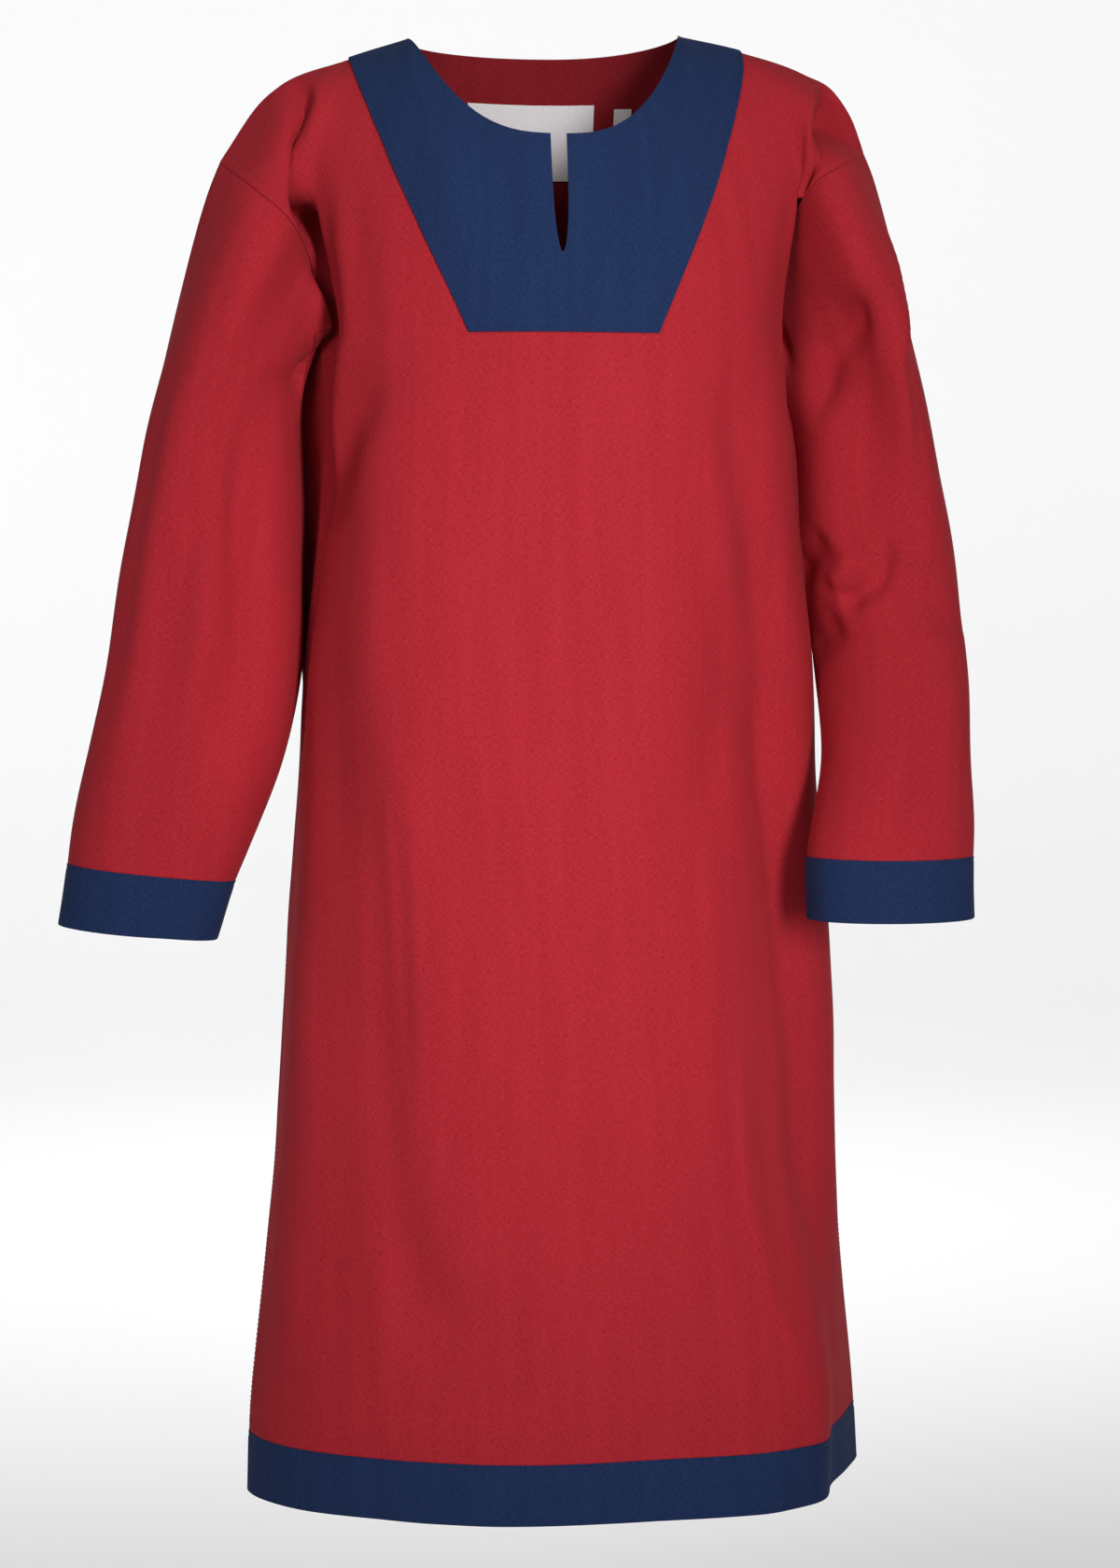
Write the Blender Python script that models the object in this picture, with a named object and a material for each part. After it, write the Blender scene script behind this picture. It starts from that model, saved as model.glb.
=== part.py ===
"""Long-sleeved medieval tunic, filled out as if worn, built from its cut pieces.

Metres, +Z up, front towards -Y. The origin lies midway between the two points where the shoulder
seams meet the neck. Right and left are the wearer's: right is -X, left is +X.
"""

import math

import bpy
import numpy as np

GARMENT = "medieval_tunic"

# Lengths down the garment, measured from the shoulder at the neck
LENGTH = 1.075
CHEST = 0.221  # level of the armpits and of the yoke's lower edge
HEM_BAND = 0.045

# Walls
CLOTH = 0.0015
BAND_CLOTH = 0.0020  # bands are folded double
LABEL_CLOTH = 0.0006
SEAM = 0.0003  # gap between pieces that are sewn together
BAND_PROUD = 0.0004  # a band stands this far outside the cloth it is sewn to

# Neck opening
NECK_HALF = 0.100
NECK_FRONT_DROP = 0.080
NECK_FORE = 0.088
NECK_BACK_DROP = 0.004
NECK_AFT = 0.072
NECK_CURVE = 2.8  # the neckline is flatter below and steeper at its corners as this grows
NECK_SHARE = 0.41  # share of a panel's half width that lies inside the neck corner
SLIT_LENGTH = 0.085
SLIT_HALF = 0.0062

# Yoke, as shares of the front panel's half width
YOKE_SHARE_TOP = 0.60
YOKE_SHARE_LOW = 0.295
YOKE_LIFT = 0.0006  # clear of the front, also over the shoulder
YOKE_BOW = 1.2  # above 1 the yoke's edges stay wide for longer
SPREAD_LENGTH = 0.40  # the columns are evenly spread this far below the chest

# Slopes of a panel's columns, as shares of each column's length
FORWARD_AT_NECK, FORWARD_AT_SHOULDER = 0.30, 0.80
DROP_AT_NECK, DROP_AT_SHOULDER = 0.95, 0.30
DROP_AT_CHEST = 0.90
FAN = 0.40  # columns spread sideways from the neck's corners
FAN_END = 0.80  # share of the half width where the spread has faded out
PULL_START = 0.50  # beyond this share the columns bend to the armhole
FOLD_FADE = 0.30  # share of a column over which the folds fade out towards the shoulder seam

# Slopes of the upper sleeve where it leaves the armhole
CAP_OUT, CAP_OUT_VARIES = 0.36, 0.06
CAP_FORE = 0.50
CAP_DOWN = 0.75
SEAM_INSIDE, SEAM_OUTSIDE = 0.96, 0.06  # places beside the armhole that give the seam's direction
ARMPIT_START, ARMPIT_SPAN = 0.25, 0.25  # shares of the armhole where the walls begin to hang apart

# Labels inside the back
LABEL_HALF = 0.049
LABEL_LIFT = 0.0014  # clear of the flat facets of the cloth behind
LABEL_TOP = 0.036
LABEL_LOW = 0.092
TAG_TOP = 0.039
TAG_NEAR = 0.064
TAG_FAR = 0.077
TAG_LOW = 0.064

# How finely the surfaces are divided
FRONT_INSIDE_YOKE = 8  # columns from the slit to the yoke's edge
FRONT_OUTSIDE_YOKE = 9
UPPER_ROWS = 12
LOWER_ROWS = 15
BACK_COLUMNS = 14  # in each half
BACK_LOWER_ROWS = 13
SLEEVE_COLUMNS = 24
SLEEVE_CAP_ROWS = 8
SLEEVE_ARM_ROWS = 9
BAND_ROWS = 2
CAP_STEP = 0.004  # stretch of the arm that gives the upper sleeve its end slope
SHOULDER_STEP = 0.02  # share of a panel's half width over which a shoulder's slope is taken

RIGHT, LEFT = -1, 1

# Level sections of the body: depths are from the side seams, tuck draws the front's left corner in,
# turn is in degrees about Z
SECTION_COLUMNS = (
    "down", "half_width", "front", "back", "power_right", "power_left", "tuck", "turn", "shift",
)
SECTIONS = (
    (0.221, 0.168, 0.118, 0.108, 2.3, 2.3, 0.000, 0.0, 0.008),
    (0.300, 0.174, 0.126, 0.112, 2.3, 2.3, 0.000, 0.0, 0.011),
    (0.360, 0.178, 0.130, 0.114, 2.3, 2.3, 0.000, 0.0, 0.011),
    (0.460, 0.189, 0.134, 0.118, 2.3, 2.4, 0.000, 0.5, 0.011),
    (0.530, 0.193, 0.135, 0.120, 2.3, 2.4, 0.000, 1.0, 0.011),
    (0.670, 0.204, 0.137, 0.124, 2.3, 2.5, 0.000, 1.5, 0.012),
    (0.810, 0.2115, 0.139, 0.130, 2.2, 2.8, 0.008, 2.0, 0.011),
    (0.920, 0.222, 0.140, 0.134, 2.0, 3.2, 0.032, 2.5, 0.010),
    (1.020, 0.233, 0.140, 0.138, 1.80, 4.0, 0.063, 3.5, 0.010),
    (1.075, 0.236, 0.140, 0.139, 1.70, 4.4, 0.077, 4.0, 0.011),
)
TURN = SECTION_COLUMNS.index("turn") - 1

# Shoulder seam from the neck corner (share 0) to the armhole (share 1).
# Columns: share, out, down
SHOULDERS = {
    RIGHT: (
        (0.00, 0.100, 0.002),
        (0.34, 0.146, 0.017),
        (0.66, 0.194, 0.036),
        (0.82, 0.214, 0.055),
        (0.92, 0.228, 0.076),
        (1.00, 0.238, 0.092),
    ),
    LEFT: (
        (0.00, 0.100, -0.004),
        (0.34, 0.150, 0.006),
        (0.66, 0.197, 0.021),
        (0.82, 0.220, 0.034),
        (0.92, 0.234, 0.055),
        (1.00, 0.242, 0.078),
    ),
}

# Armhole seam from the shoulder (share 0) down into the armpit (share 1).
# Columns: share, out, fore, aft, down
ARMHOLES = {
    RIGHT: (
        (0.00, 0.238, 0.000, 0.000, 0.092),
        (0.25, 0.213, 0.048, 0.045, 0.118),
        (0.42, 0.190, 0.062, 0.064, 0.138),
        (0.58, 0.175, 0.050, 0.062, 0.160),
        (0.80, 0.168, 0.018, 0.035, 0.200),
        (1.00, 0.165, 0.000, 0.000, 0.221),
    ),
    LEFT: (
        (0.00, 0.242, 0.000, 0.000, 0.078),
        (0.25, 0.214, 0.048, 0.045, 0.094),
        (0.42, 0.193, 0.062, 0.064, 0.108),
        (0.58, 0.180, 0.050, 0.062, 0.140),
        (0.80, 0.173, 0.018, 0.035, 0.190),
        (1.00, 0.171, 0.000, 0.000, 0.221),
    ),
}

# Sections of the sleeves across the arm: lean in degrees lowers the inner side, skew draws the back
# of the section in towards the body.
# Columns: down, out, fore, half_width, half_depth, lean, skew
ARMS = {
    RIGHT: (
        (0.310, 0.239, 0.002, 0.056, 0.058, 2.0, 0.24),
        (0.361, 0.243, 0.002, 0.062, 0.060, 4.0, 0.24),
        (0.468, 0.253, 0.006, 0.071, 0.060, 6.0, 0.16),
        (0.522, 0.265, 0.010, 0.071, 0.058, 7.0, 0.08),
        (0.590, 0.286, 0.016, 0.065, 0.050, 7.0, 0.0),
        (0.610, 0.292, 0.018, 0.062, 0.047, 6.5, 0.0),
        (0.654, 0.303, 0.018, 0.058, 0.043, 6.0, 0.0),
    ),
    LEFT: (
        (0.310, 0.244, 0.000, 0.052, 0.058, 0.0, 0.14),
        (0.361, 0.249, 0.008, 0.055, 0.058, 0.0, 0.16),
        (0.468, 0.259, 0.038, 0.052, 0.057, 0.0, 0.16),
        (0.522, 0.254, 0.068, 0.054, 0.054, 0.0, 0.10),
        (0.577, 0.245, 0.097, 0.060, 0.049, 0.0, 0.0),
        (0.597, 0.242, 0.103, 0.0615, 0.047, 0.0, 0.0),
        (0.642, 0.241, 0.110, 0.062, 0.044, 0.0, 0.0),
    ),
}
CUFF_TOPS = {RIGHT: 0.610, LEFT: 0.597}
CUFF_ENDS = {RIGHT: 0.654, LEFT: 0.642}

# Largest soft folds of the body: place is a share of the panel's half width, depth is inwards.
# Columns: place_top, down_top, place_low, down_low, width, depth
FRONT_FOLDS = (
    (-0.80, 0.020, -0.80, 0.230, 0.070, 0.012),
    (-0.72, 0.240, -0.62, 1.060, 0.110, 0.008),
    (0.55, 0.240, 0.72, 0.700, 0.100, 0.006),
    (0.84, 0.030, 0.82, 0.220, 0.070, 0.012),
    (0.60, 0.680, 0.68, 1.450, 0.070, -0.005),
    (-1.12, 0.222, -1.12, 0.420, 0.120, -0.018),
    (1.12, 0.280, 1.12, 0.620, 0.120, -0.007),
)
BACK_FOLDS = (
    (-0.60, 0.280, -0.50, 1.060, 0.120, 0.008),
    (0.10, 0.420, 0.16, 1.060, 0.120, 0.006),
    (0.62, 0.260, 0.66, 0.980, 0.110, 0.008),
    (-0.88, 0.222, -0.88, 0.420, 0.120, -0.018),
    (0.88, 0.280, 0.88, 0.620, 0.120, -0.007),
)

# Largest soft folds of the sleeves: angle in degrees from the outer side round by the front.
# Columns: angle_top, down_top, angle_low, down_low, width, depth
ARM_FOLDS = {
    RIGHT: (
        (128.0, 0.110, 142.0, 0.250, 26.0, -0.012),
        (70.0, 0.300, 84.0, 0.640, 22.0, 0.006),
    ),
    LEFT: (
        (58.0, 0.120, 62.0, 0.420, 18.0, -0.006),
        (96.0, 0.180, 120.0, 0.400, 22.0, 0.008),
        (90.0, 0.380, 60.0, 0.440, 30.0, 0.007),
    ),
}

RED_CLOTH = (0.40, 0.020, 0.030)
BLUE_CLOTH = (0.017, 0.040, 0.140)
WHITE_WEAVE = (0.82, 0.78, 0.79)


def clear_scene():
    """Remove every object of the startup scene."""
    for item in list(bpy.data.objects):
        bpy.data.objects.remove(item, do_unlink=True)


def through(table, at):
    """Smooth values of a table's other columns where its first column equals at."""
    rows = np.array(table, float)
    knots, values = rows[:, 0], rows[:, 1:]
    slopes = np.gradient(values, knots, axis=0)
    at = np.clip(np.asarray(at, float), knots[0], knots[-1])
    low = np.clip(np.searchsorted(knots, at, side="right") - 1, 0, len(knots) - 2)
    span = (knots[low + 1] - knots[low])[..., None]
    part = (at - knots[low])[..., None] / span
    return hermite(values[low], slopes[low] * span, values[low + 1], slopes[low + 1] * span, part)


def hermite(start, leave, end, arrive, part):
    """Cubic from start to end with the given end slopes, at part from 0 to 1."""
    square, cube = part * part, part * part * part
    ends = (2 * cube - 3 * square + 1) * start + (3 * square - 2 * cube) * end
    return ends + (cube - 2 * square + part) * leave + (cube - square) * arrive


def ease(value):
    """Smooth step from 0 to 1."""
    value = np.clip(value, 0.0, 1.0)
    return value * value * (3 - 2 * value)


def body_points(place, down, facing):
    """Points of the body below the armpits, place from -1 to 1 between the side seams."""
    place, down = np.broadcast_arrays(np.asarray(place, float), np.asarray(down, float))
    points = np.empty(place.shape + (3,))
    angle = np.linspace(-math.pi / 2, math.pi / 2, 241)
    for index in np.ndindex(place.shape[:-1]):
        section = dict(zip(SECTION_COLUMNS[1:], through(SECTIONS, down[index][0])))
        bend = 2 / np.where(angle < 0, section["power_right"], section["power_left"])
        x = section["half_width"] * np.sign(np.sin(angle)) * np.abs(np.sin(angle)) ** bend
        reach = np.cos(angle).clip(0) ** bend
        y = reach * (-section["front"] if facing < 0 else section["back"])
        if facing < 0:
            x = x - section["tuck"] * reach * ease(np.sin(angle) * 2)
        along = np.concatenate([[0], np.cumsum(np.hypot(np.diff(x), np.diff(y)))])
        centred = section["shift"] * (1 - place[index] ** 2)
        wanted = (place[index] + 1) / 2 * along[-1] - centred
        x, y = np.interp(wanted, along, x), np.interp(wanted, along, y)
        turned = math.radians(section["turn"])
        points[index][:, 0] = x * math.cos(turned) - y * math.sin(turned) + section["shift"]
        points[index][:, 1] = x * math.sin(turned) + y * math.cos(turned)
        points[index][:, 2] = -down[index]
    return points


def top_edge(place, facing):
    """Neckline and shoulder seams of a panel, place from -1 to 1."""
    place = np.asarray(place, float)
    angle = np.clip(np.abs(place) / NECK_SHARE, 0, 1) * math.pi / 2
    drop, reach = (NECK_FRONT_DROP, -NECK_FORE) if facing < 0 else (NECK_BACK_DROP, NECK_AFT)
    share = np.clip((np.abs(place) - NECK_SHARE) / (1 - NECK_SHARE), 0, 1)
    right, left = through(SHOULDERS[RIGHT], share), through(SHOULDERS[LEFT], share)
    out, down = np.moveaxis(np.where((place < 0)[..., None], right, left), -1, 0)
    corner_right, corner_left = SHOULDERS[RIGHT][0][2], SHOULDERS[LEFT][0][2]
    lean = (corner_left - corner_right) / 2 * np.sin(angle) ** 3 * np.sign(place)
    in_neck = np.abs(place) < NECK_SHARE
    x = np.where(in_neck, NECK_HALF * np.sin(angle), out) * np.sign(place)
    y = np.where(in_neck, reach * np.cos(angle), facing * SEAM / 2)
    neck_z = -drop * (1 - np.sin(angle) ** NECK_CURVE) - lean - (corner_left + corner_right) / 2
    return np.stack([x, y, np.where(in_neck, neck_z, -down)], axis=-1)


def armhole(side, share, facing):
    """Points of the armhole seam on the front or the back."""
    out, fore, aft, down = np.moveaxis(through(ARMHOLES[side], share), -1, 0)
    y = facing * (np.where(facing < 0, fore, aft) + SEAM / 2)
    return np.stack([side * out, y, -down], axis=-1)


def column_points(place, part, facing):
    """Hermite columns from the top edge of a panel down to the chest."""
    top, low = top_edge(place, facing), body_points(place, CHEST, facing)
    reach = np.linalg.norm(low - top, axis=-1)
    over = ease((np.abs(place) - 0.25 * NECK_SHARE) / (0.75 * NECK_SHARE))
    forward = FORWARD_AT_NECK + (FORWARD_AT_SHOULDER - FORWARD_AT_NECK) * over
    drop = DROP_AT_NECK + (DROP_AT_SHOULDER - DROP_AT_NECK) * over
    fading = ease((FAN_END - np.abs(place)) / (FAN_END - NECK_SHARE))
    fan = FAN * ease(np.abs(place) / NECK_SHARE) * fading
    leave = np.stack([fan * np.sign(place), facing * forward, -drop], axis=-1) * reach[..., None]
    arrive = np.array([0.0, 0.0, -DROP_AT_CHEST]) * reach[..., None]
    return hermite(top, leave, low, arrive, np.asarray(part, float)[..., None])


def upper_points(place, part, facing):
    """Points of a panel above the armpits, part from 0 at its top edge to 1 at the chest."""
    points = column_points(place, part, facing)
    for side in (RIGHT, LEFT):
        edge = column_points(np.full_like(place, side), part, facing)
        pull = ease((side * place - PULL_START) / (1 - PULL_START))[..., None]
        points = points + pull * (armhole(side, part, facing) - edge)
    return points


def unit(vectors):
    """Vectors scaled to a length of one."""
    return vectors / np.linalg.norm(vectors, axis=-1, keepdims=True)


def outward(grid):
    """Unit normals of a grid whose rows run down and whose columns run rightwards seen from outside."""
    return unit(np.cross(np.gradient(grid, axis=0), np.gradient(grid, axis=1)))


def bump(folds, place, down):
    """How far soft folds draw a surface in, place in the units of the fold table."""
    depth = np.zeros(np.broadcast_shapes(np.shape(place), np.shape(down)))
    for place_top, down_top, place_low, down_low, width, most in folds:
        along = np.clip((down - down_top) / (down_low - down_top), 0, 1)
        centre = place_top + (place_low - place_top) * along
        depth += most * np.sin(math.pi * along) ** 0.8 * np.exp(-(((place - centre) / width) ** 2))
    return depth


def armhole_frame(side, share, facing):
    """Across and outward directions at the armhole seam, shared by the panel and the sleeve."""
    inside = upper_points(np.full_like(share, SEAM_INSIDE * side), share, facing)
    angles = np.pi * (share if facing < 0 else 2 - share)
    outside = cap_points(side, angles, np.array([SEAM_OUTSIDE]))[0]
    across = unit(outside - inside)
    along = np.gradient(armhole(side, share, facing), axis=0)
    normal = unit(np.cross(along, across)) * (-facing * side)
    normal[[0, -1], 1] = 0
    below = in_armpit(share)
    return unit(across * (1 - below) + below * np.array([side, 0.0, 0.0])), unit(normal)


def in_armpit(share):
    """Weight from 0 on the shoulder to 1 where the panel and the sleeve hang side by side."""
    return ease((share - ARMPIT_START) / ARMPIT_SPAN)[:, None]


def shoulder_normals(place, facing):
    """Directions square to the shoulder seams, shared by the front and the back."""
    outer = np.minimum(np.abs(place) + SHOULDER_STEP, 1.0) * np.sign(place)
    inner = np.maximum(np.abs(place) - SHOULDER_STEP, NECK_SHARE) * np.sign(place)
    slope = (top_edge(outer, facing) - top_edge(inner, facing)) * np.sign(place)[:, None]
    return unit(np.stack([-slope[:, 2], 0 * place, slope[:, 0]], axis=-1))


def panel_normals(grid, places, parts, facing):
    """Outward directions of a panel, shared with its neighbours along every seam."""
    turned = slice(None, None, -facing)
    normal = outward(grid[:, turned])[:, turned]
    for side, edge in ((RIGHT, 0), (LEFT, -1)):
        turn = np.radians(through(SECTIONS, -grid[len(parts) :, edge, 2])[:, TURN])
        normal[len(parts) :, edge] = side * np.stack([np.cos(turn), np.sin(turn), 0 * turn], axis=-1)
        if len(parts):
            own = normal[: len(parts), edge]
            shared = armhole_frame(side, parts, facing)[1]
            normal[: len(parts), edge] = shared + in_armpit(parts) * (own - shared)
            normal[len(parts) - 1, edge] = (side, 0.0, 0.0)
    if len(parts):
        on_shoulder = np.abs(places[0]) > NECK_SHARE - 1e-6
        normal[0, on_shoulder] = shoulder_normals(places[0, on_shoulder], facing)
    normal[-1, :, 2] = 0
    return unit(normal)


def panel(places, parts, downs, facing, folds):
    """Outer points and outward directions of a panel, a row for each part and each level.

    Places run from -1 to 1. Rows above the chest are given as parts, rows below it as levels.
    """
    shape = places[: len(parts)].shape
    upper = upper_points(places[: len(parts)], np.broadcast_to(parts[:, None], shape), facing)
    lower = body_points(places[len(parts) :], downs[:, None], facing)
    grid = np.concatenate([upper, lower])
    normal = panel_normals(grid, places, parts, facing)
    depth = bump(folds, places, -grid[..., 2])
    depth[: len(parts)] *= ease(parts / FOLD_FADE)[:, None]
    grid = grid - normal * depth[..., None]
    for side, edge in ((RIGHT, 0), (LEFT, -1)):
        grid[len(parts) :, edge, 1] += facing * SEAM / 2
        if len(parts):
            grid[: len(parts), edge] -= armhole_frame(side, parts, facing)[0] * SEAM / 2
    return grid, panel_normals(grid, places, parts, facing)


def slit_half(down):
    """Half width of the neck slit at a level."""
    closing = np.clip((down - NECK_FRONT_DROP) / SLIT_LENGTH, 0, 1)
    return SLIT_HALF * np.sqrt(1 - closing**3)


def front_places(parts, downs):
    """Columns of the front: slit, yoke edges, neck corners and side seams each keep a column."""
    inside = np.linspace(0, 1, FRONT_INSIDE_YOKE + 1)
    corner = np.argmin(np.abs(inside - NECK_SHARE / YOKE_SHARE_TOP))
    inside[corner] = NECK_SHARE / YOKE_SHARE_TOP
    outside = np.linspace(0, 1, FRONT_OUTSIDE_YOKE + 1)[1:]
    even = np.linspace(0, 1, FRONT_INSIDE_YOKE + FRONT_OUTSIDE_YOKE + 1)
    edge = YOKE_SHARE_TOP + (YOKE_SHARE_LOW - YOKE_SHARE_TOP) * parts[:, None] ** YOKE_BOW
    upper = np.concatenate([inside * edge, edge + outside * (1 - edge)], axis=1)
    level = ease((downs[:, None] - CHEST) / SPREAD_LENGTH)
    lower = upper[-1] * (1 - level) + even * level
    half = np.concatenate([upper, lower])
    return np.concatenate([-half[:, :0:-1], half], axis=1)


def wall(name, outer, inner, colour, closed=False, cells=None):
    """Closed cloth wall lofted between its outer and inner points.

    cells gives the corners kept of each grid cell, or all four where it is left out. A closed grid
    joins its last column to its first. Cells are split the same way on both faces, so that a piece
    made from another's points lies evenly on it.
    """
    rows, columns = outer.shape[:2]
    faces = []
    for row in range(rows - 1):
        for column in range(columns if closed else columns - 1):
            beside = (column + 1) % columns
            corners = (row * columns + column, (row + 1) * columns + column)
            corners += ((row + 1) * columns + beside, row * columns + beside)
            kept = (0, 1, 2, 3) if cells is None else cells(row, column)
            for third in range(2, len(kept)):
                faces.append([corners[kept[0]], corners[kept[third - 1]], corners[kept[third]]])
    used = sorted({corner for face in faces for corner in face})
    index = {corner: place for place, corner in enumerate(used)}
    faces = [[index[corner] for corner in face] for face in faces]
    sides = {(a, b) for face in faces for a, b in zip(face, face[1:] + face[:1])}
    count = len(used)
    lining = [[corner + count for corner in reversed(face)] for face in faces]
    rim = [[b, a, a + count, b + count] for a, b in sorted(sides) if (b, a) not in sides]
    points = [outer.reshape(-1, 3)[used], inner.reshape(-1, 3)[used]]
    mesh = bpy.data.meshes.new(name)
    mesh.from_pydata(np.concatenate(points).tolist(), [], faces + lining + rim)
    mesh.shade_smooth()
    mesh.set_sharp_from_angle(angle=math.radians(50))
    mesh.materials.append(cloth_material(name, colour))
    piece = bpy.data.objects.new(name, mesh)
    bpy.data.collections[GARMENT].objects.link(piece)
    return piece


def cloth_material(name, colour):
    """Matte cloth of one colour."""
    material = bpy.data.materials.new(name + "_cloth")
    material.use_nodes = True
    shader = material.node_tree.nodes["Principled BSDF"]
    shader.inputs["Base Color"].default_value = (*colour, 1.0)
    shader.inputs["Roughness"].default_value = 0.9
    shader.inputs["Metallic"].default_value = 0.0
    return material


def build_front():
    """Front panel and the yoke that lies on it."""
    parts = np.linspace(0, 1, UPPER_ROWS + 1)
    downs = np.linspace(CHEST, LENGTH - HEM_BAND - SEAM, LOWER_ROWS + 1)[1:]
    places = front_places(parts, downs)
    grid, normal = panel(places, parts, downs, -1, FRONT_FOLDS)
    middle = grid.shape[1] // 2
    slit_end = NECK_FRONT_DROP + SLIT_LENGTH
    line = grid[: UPPER_ROWS + 1, middle].copy()
    tip = int(np.argmin(np.abs(-line[:, 2] - slit_end)))
    grid[tip, middle] = [np.interp(slit_end, -line[:, 2], line[:, axis]) for axis in range(3)]
    for row in range(tip + 1):
        half = slit_half(-grid[row, middle, 2]) if row < tip else SLIT_HALF / 2
        for column, side in ((middle - 1, RIGHT), (middle + 1, LEFT)):
            grid[row, column, 0] = grid[row, middle, 0] + side * half

    def slit_cells(row, column):
        """Corners kept of each cell, so that the slit is open down to its tip."""
        if row >= tip or column not in (middle - 1, middle):
            return (0, 1, 2, 3)
        if row < tip - 1:
            return ()
        return (0, 1, 2) if column == middle - 1 else (1, 2, 3)

    wall("front", grid, grid - normal * CLOTH, RED_CLOTH, cells=slit_cells)
    first = middle - FRONT_INSIDE_YOKE
    kept = np.s_[: UPPER_ROWS + 1, first : middle + FRONT_INSIDE_YOKE + 1]
    under = (grid + normal * YOKE_LIFT)[kept]
    over = (grid + normal * (YOKE_LIFT + CLOTH))[kept]

    def yoke_cells(row, column):
        """Corners kept of the yoke's cells, which leave the same slit open."""
        return slit_cells(row, column + first)

    wall("yoke", over, under, BLUE_CLOTH, cells=yoke_cells)


def build_back():
    """Back panel with the labels sewn inside it."""
    parts = np.linspace(0, 1, UPPER_ROWS + 1)
    downs = np.linspace(CHEST, LENGTH - HEM_BAND - SEAM, BACK_LOWER_ROWS + 1)[1:]
    half = np.linspace(0, 1, BACK_COLUMNS + 1)
    half[np.argmin(np.abs(half - NECK_SHARE))] = NECK_SHARE
    places = np.tile(np.concatenate([-half[:0:-1], half]), (len(parts) + len(downs), 1))
    grid, normal = panel(places, parts, downs, 1, BACK_FOLDS)
    wall("back", grid[:, ::-1], (grid - normal * CLOTH)[:, ::-1], RED_CLOTH)
    inside_label("label", np.linspace(-LABEL_HALF, LABEL_HALF, 9), np.linspace(LABEL_TOP, LABEL_LOW, 5))
    inside_label("size_tag", np.linspace(TAG_NEAR, TAG_FAR, 3), np.linspace(TAG_TOP, TAG_LOW, 4))


def inside_label(name, across, downs):
    """Woven label that lies just inside the back, across and down given in metres."""
    dense = np.linspace(-1, 1, 161) * 1.4 * NECK_SHARE
    parts = np.linspace(0, 1, 81)
    down_the_back = np.repeat(parts[:, None], len(dense), axis=1)
    surface = upper_points(np.tile(dense, (len(parts), 1)), down_the_back, 1)
    grid = np.empty((len(downs), len(across), 3))
    for column, x in enumerate(across):
        depth = [np.interp(x, row[:, 0], row[:, 1]) for row in surface]
        level = [np.interp(x, row[:, 0], -row[:, 2]) for row in surface]
        grid[:, column, 0] = x
        grid[:, column, 1] = np.interp(downs, level, depth)
        grid[:, column, 2] = -downs
    grid = grid[:, ::-1]
    normal = outward(grid)
    outer = grid - normal * (CLOTH + LABEL_LIFT)
    wall(name, outer, outer - normal * LABEL_CLOTH, WHITE_WEAVE)


def arm_ring(side, down, angles):
    """Oval section of a sleeve, angle 0 at the outer side and 90 degrees at the front."""
    out, fore, half_width, half_depth, lean, skew = np.moveaxis(through(ARMS[side], down), -1, 0)[..., None]
    across = half_width * np.cos(angles) + skew * half_depth * np.sin(angles)
    tilt = np.radians(lean)
    x = side * (out + across * np.cos(tilt))
    y = -fore - half_depth * np.sin(angles)
    z = -down[..., None] + across * np.sin(tilt)
    return np.stack([x, y, z], axis=-1)


def cap_points(side, angles, parts):
    """Upper sleeve from the armhole seam (part 0) to the first section of the arm (part 1)."""
    turned = np.degrees(angles) % 360
    share = np.where(turned <= 180, turned, 360 - turned) / 180
    front, back = armhole(side, share, -1), armhole(side, share, 1)
    start = np.where((turned <= 180)[:, None], front, back)
    first = ARMS[side][0][0]
    ring = arm_ring(side, np.array([first]), angles)[0]
    reach = np.linalg.norm(ring - start, axis=-1, keepdims=True)
    outer, fore = np.cos(angles)[:, None], np.sin(angles)[:, None]
    leave = [side * (CAP_OUT - CAP_OUT_VARIES * outer), -CAP_FORE * fore, -CAP_DOWN + 0 * outer]
    leave = np.concatenate(leave, axis=1)
    arrive = unit(arm_ring(side, np.array([first + CAP_STEP]), angles)[0] - ring)
    return hermite(start, leave * reach, ring, arrive * reach, parts[:, None, None])


def build_sleeve(side, name):
    """Sleeve from the armhole seam down to the cuff seam."""
    angles = np.linspace(0, 2 * math.pi, SLEEVE_COLUMNS, endpoint=False)
    cap = cap_points(side, angles, np.linspace(0, 1, SLEEVE_CAP_ROWS + 1))
    downs = np.linspace(ARMS[side][0][0], CUFF_TOPS[side] - SEAM, SLEEVE_ARM_ROWS + 1)[1:]
    grid = np.concatenate([cap, arm_ring(side, downs, angles)])
    folds = bump(ARM_FOLDS[side], np.degrees(angles)[None, :], -grid[..., 2])
    folds[0] = 0
    grid = grid - around(grid, side) * folds[..., None]
    normal = around(grid, side)
    half = SLEEVE_COLUMNS // 2
    share = np.linspace(0, 1, half + 1)
    for facing, columns in ((-1, np.arange(half + 1)), (1, -np.arange(1, half))):
        across, shared = armhole_frame(side, share, facing)
        kept = np.abs(columns)
        own = normal[0, columns]
        normal[0, columns] = shared[kept] + in_armpit(share[kept]) * (own - shared[kept])
        grid[0, columns] += across[kept] * SEAM / 2
    normal[-1, :, 2] = 0
    normal = unit(normal)
    wall(name, tube(grid, side), tube(grid - normal * CLOTH, side), RED_CLOTH, closed=True)


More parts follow.
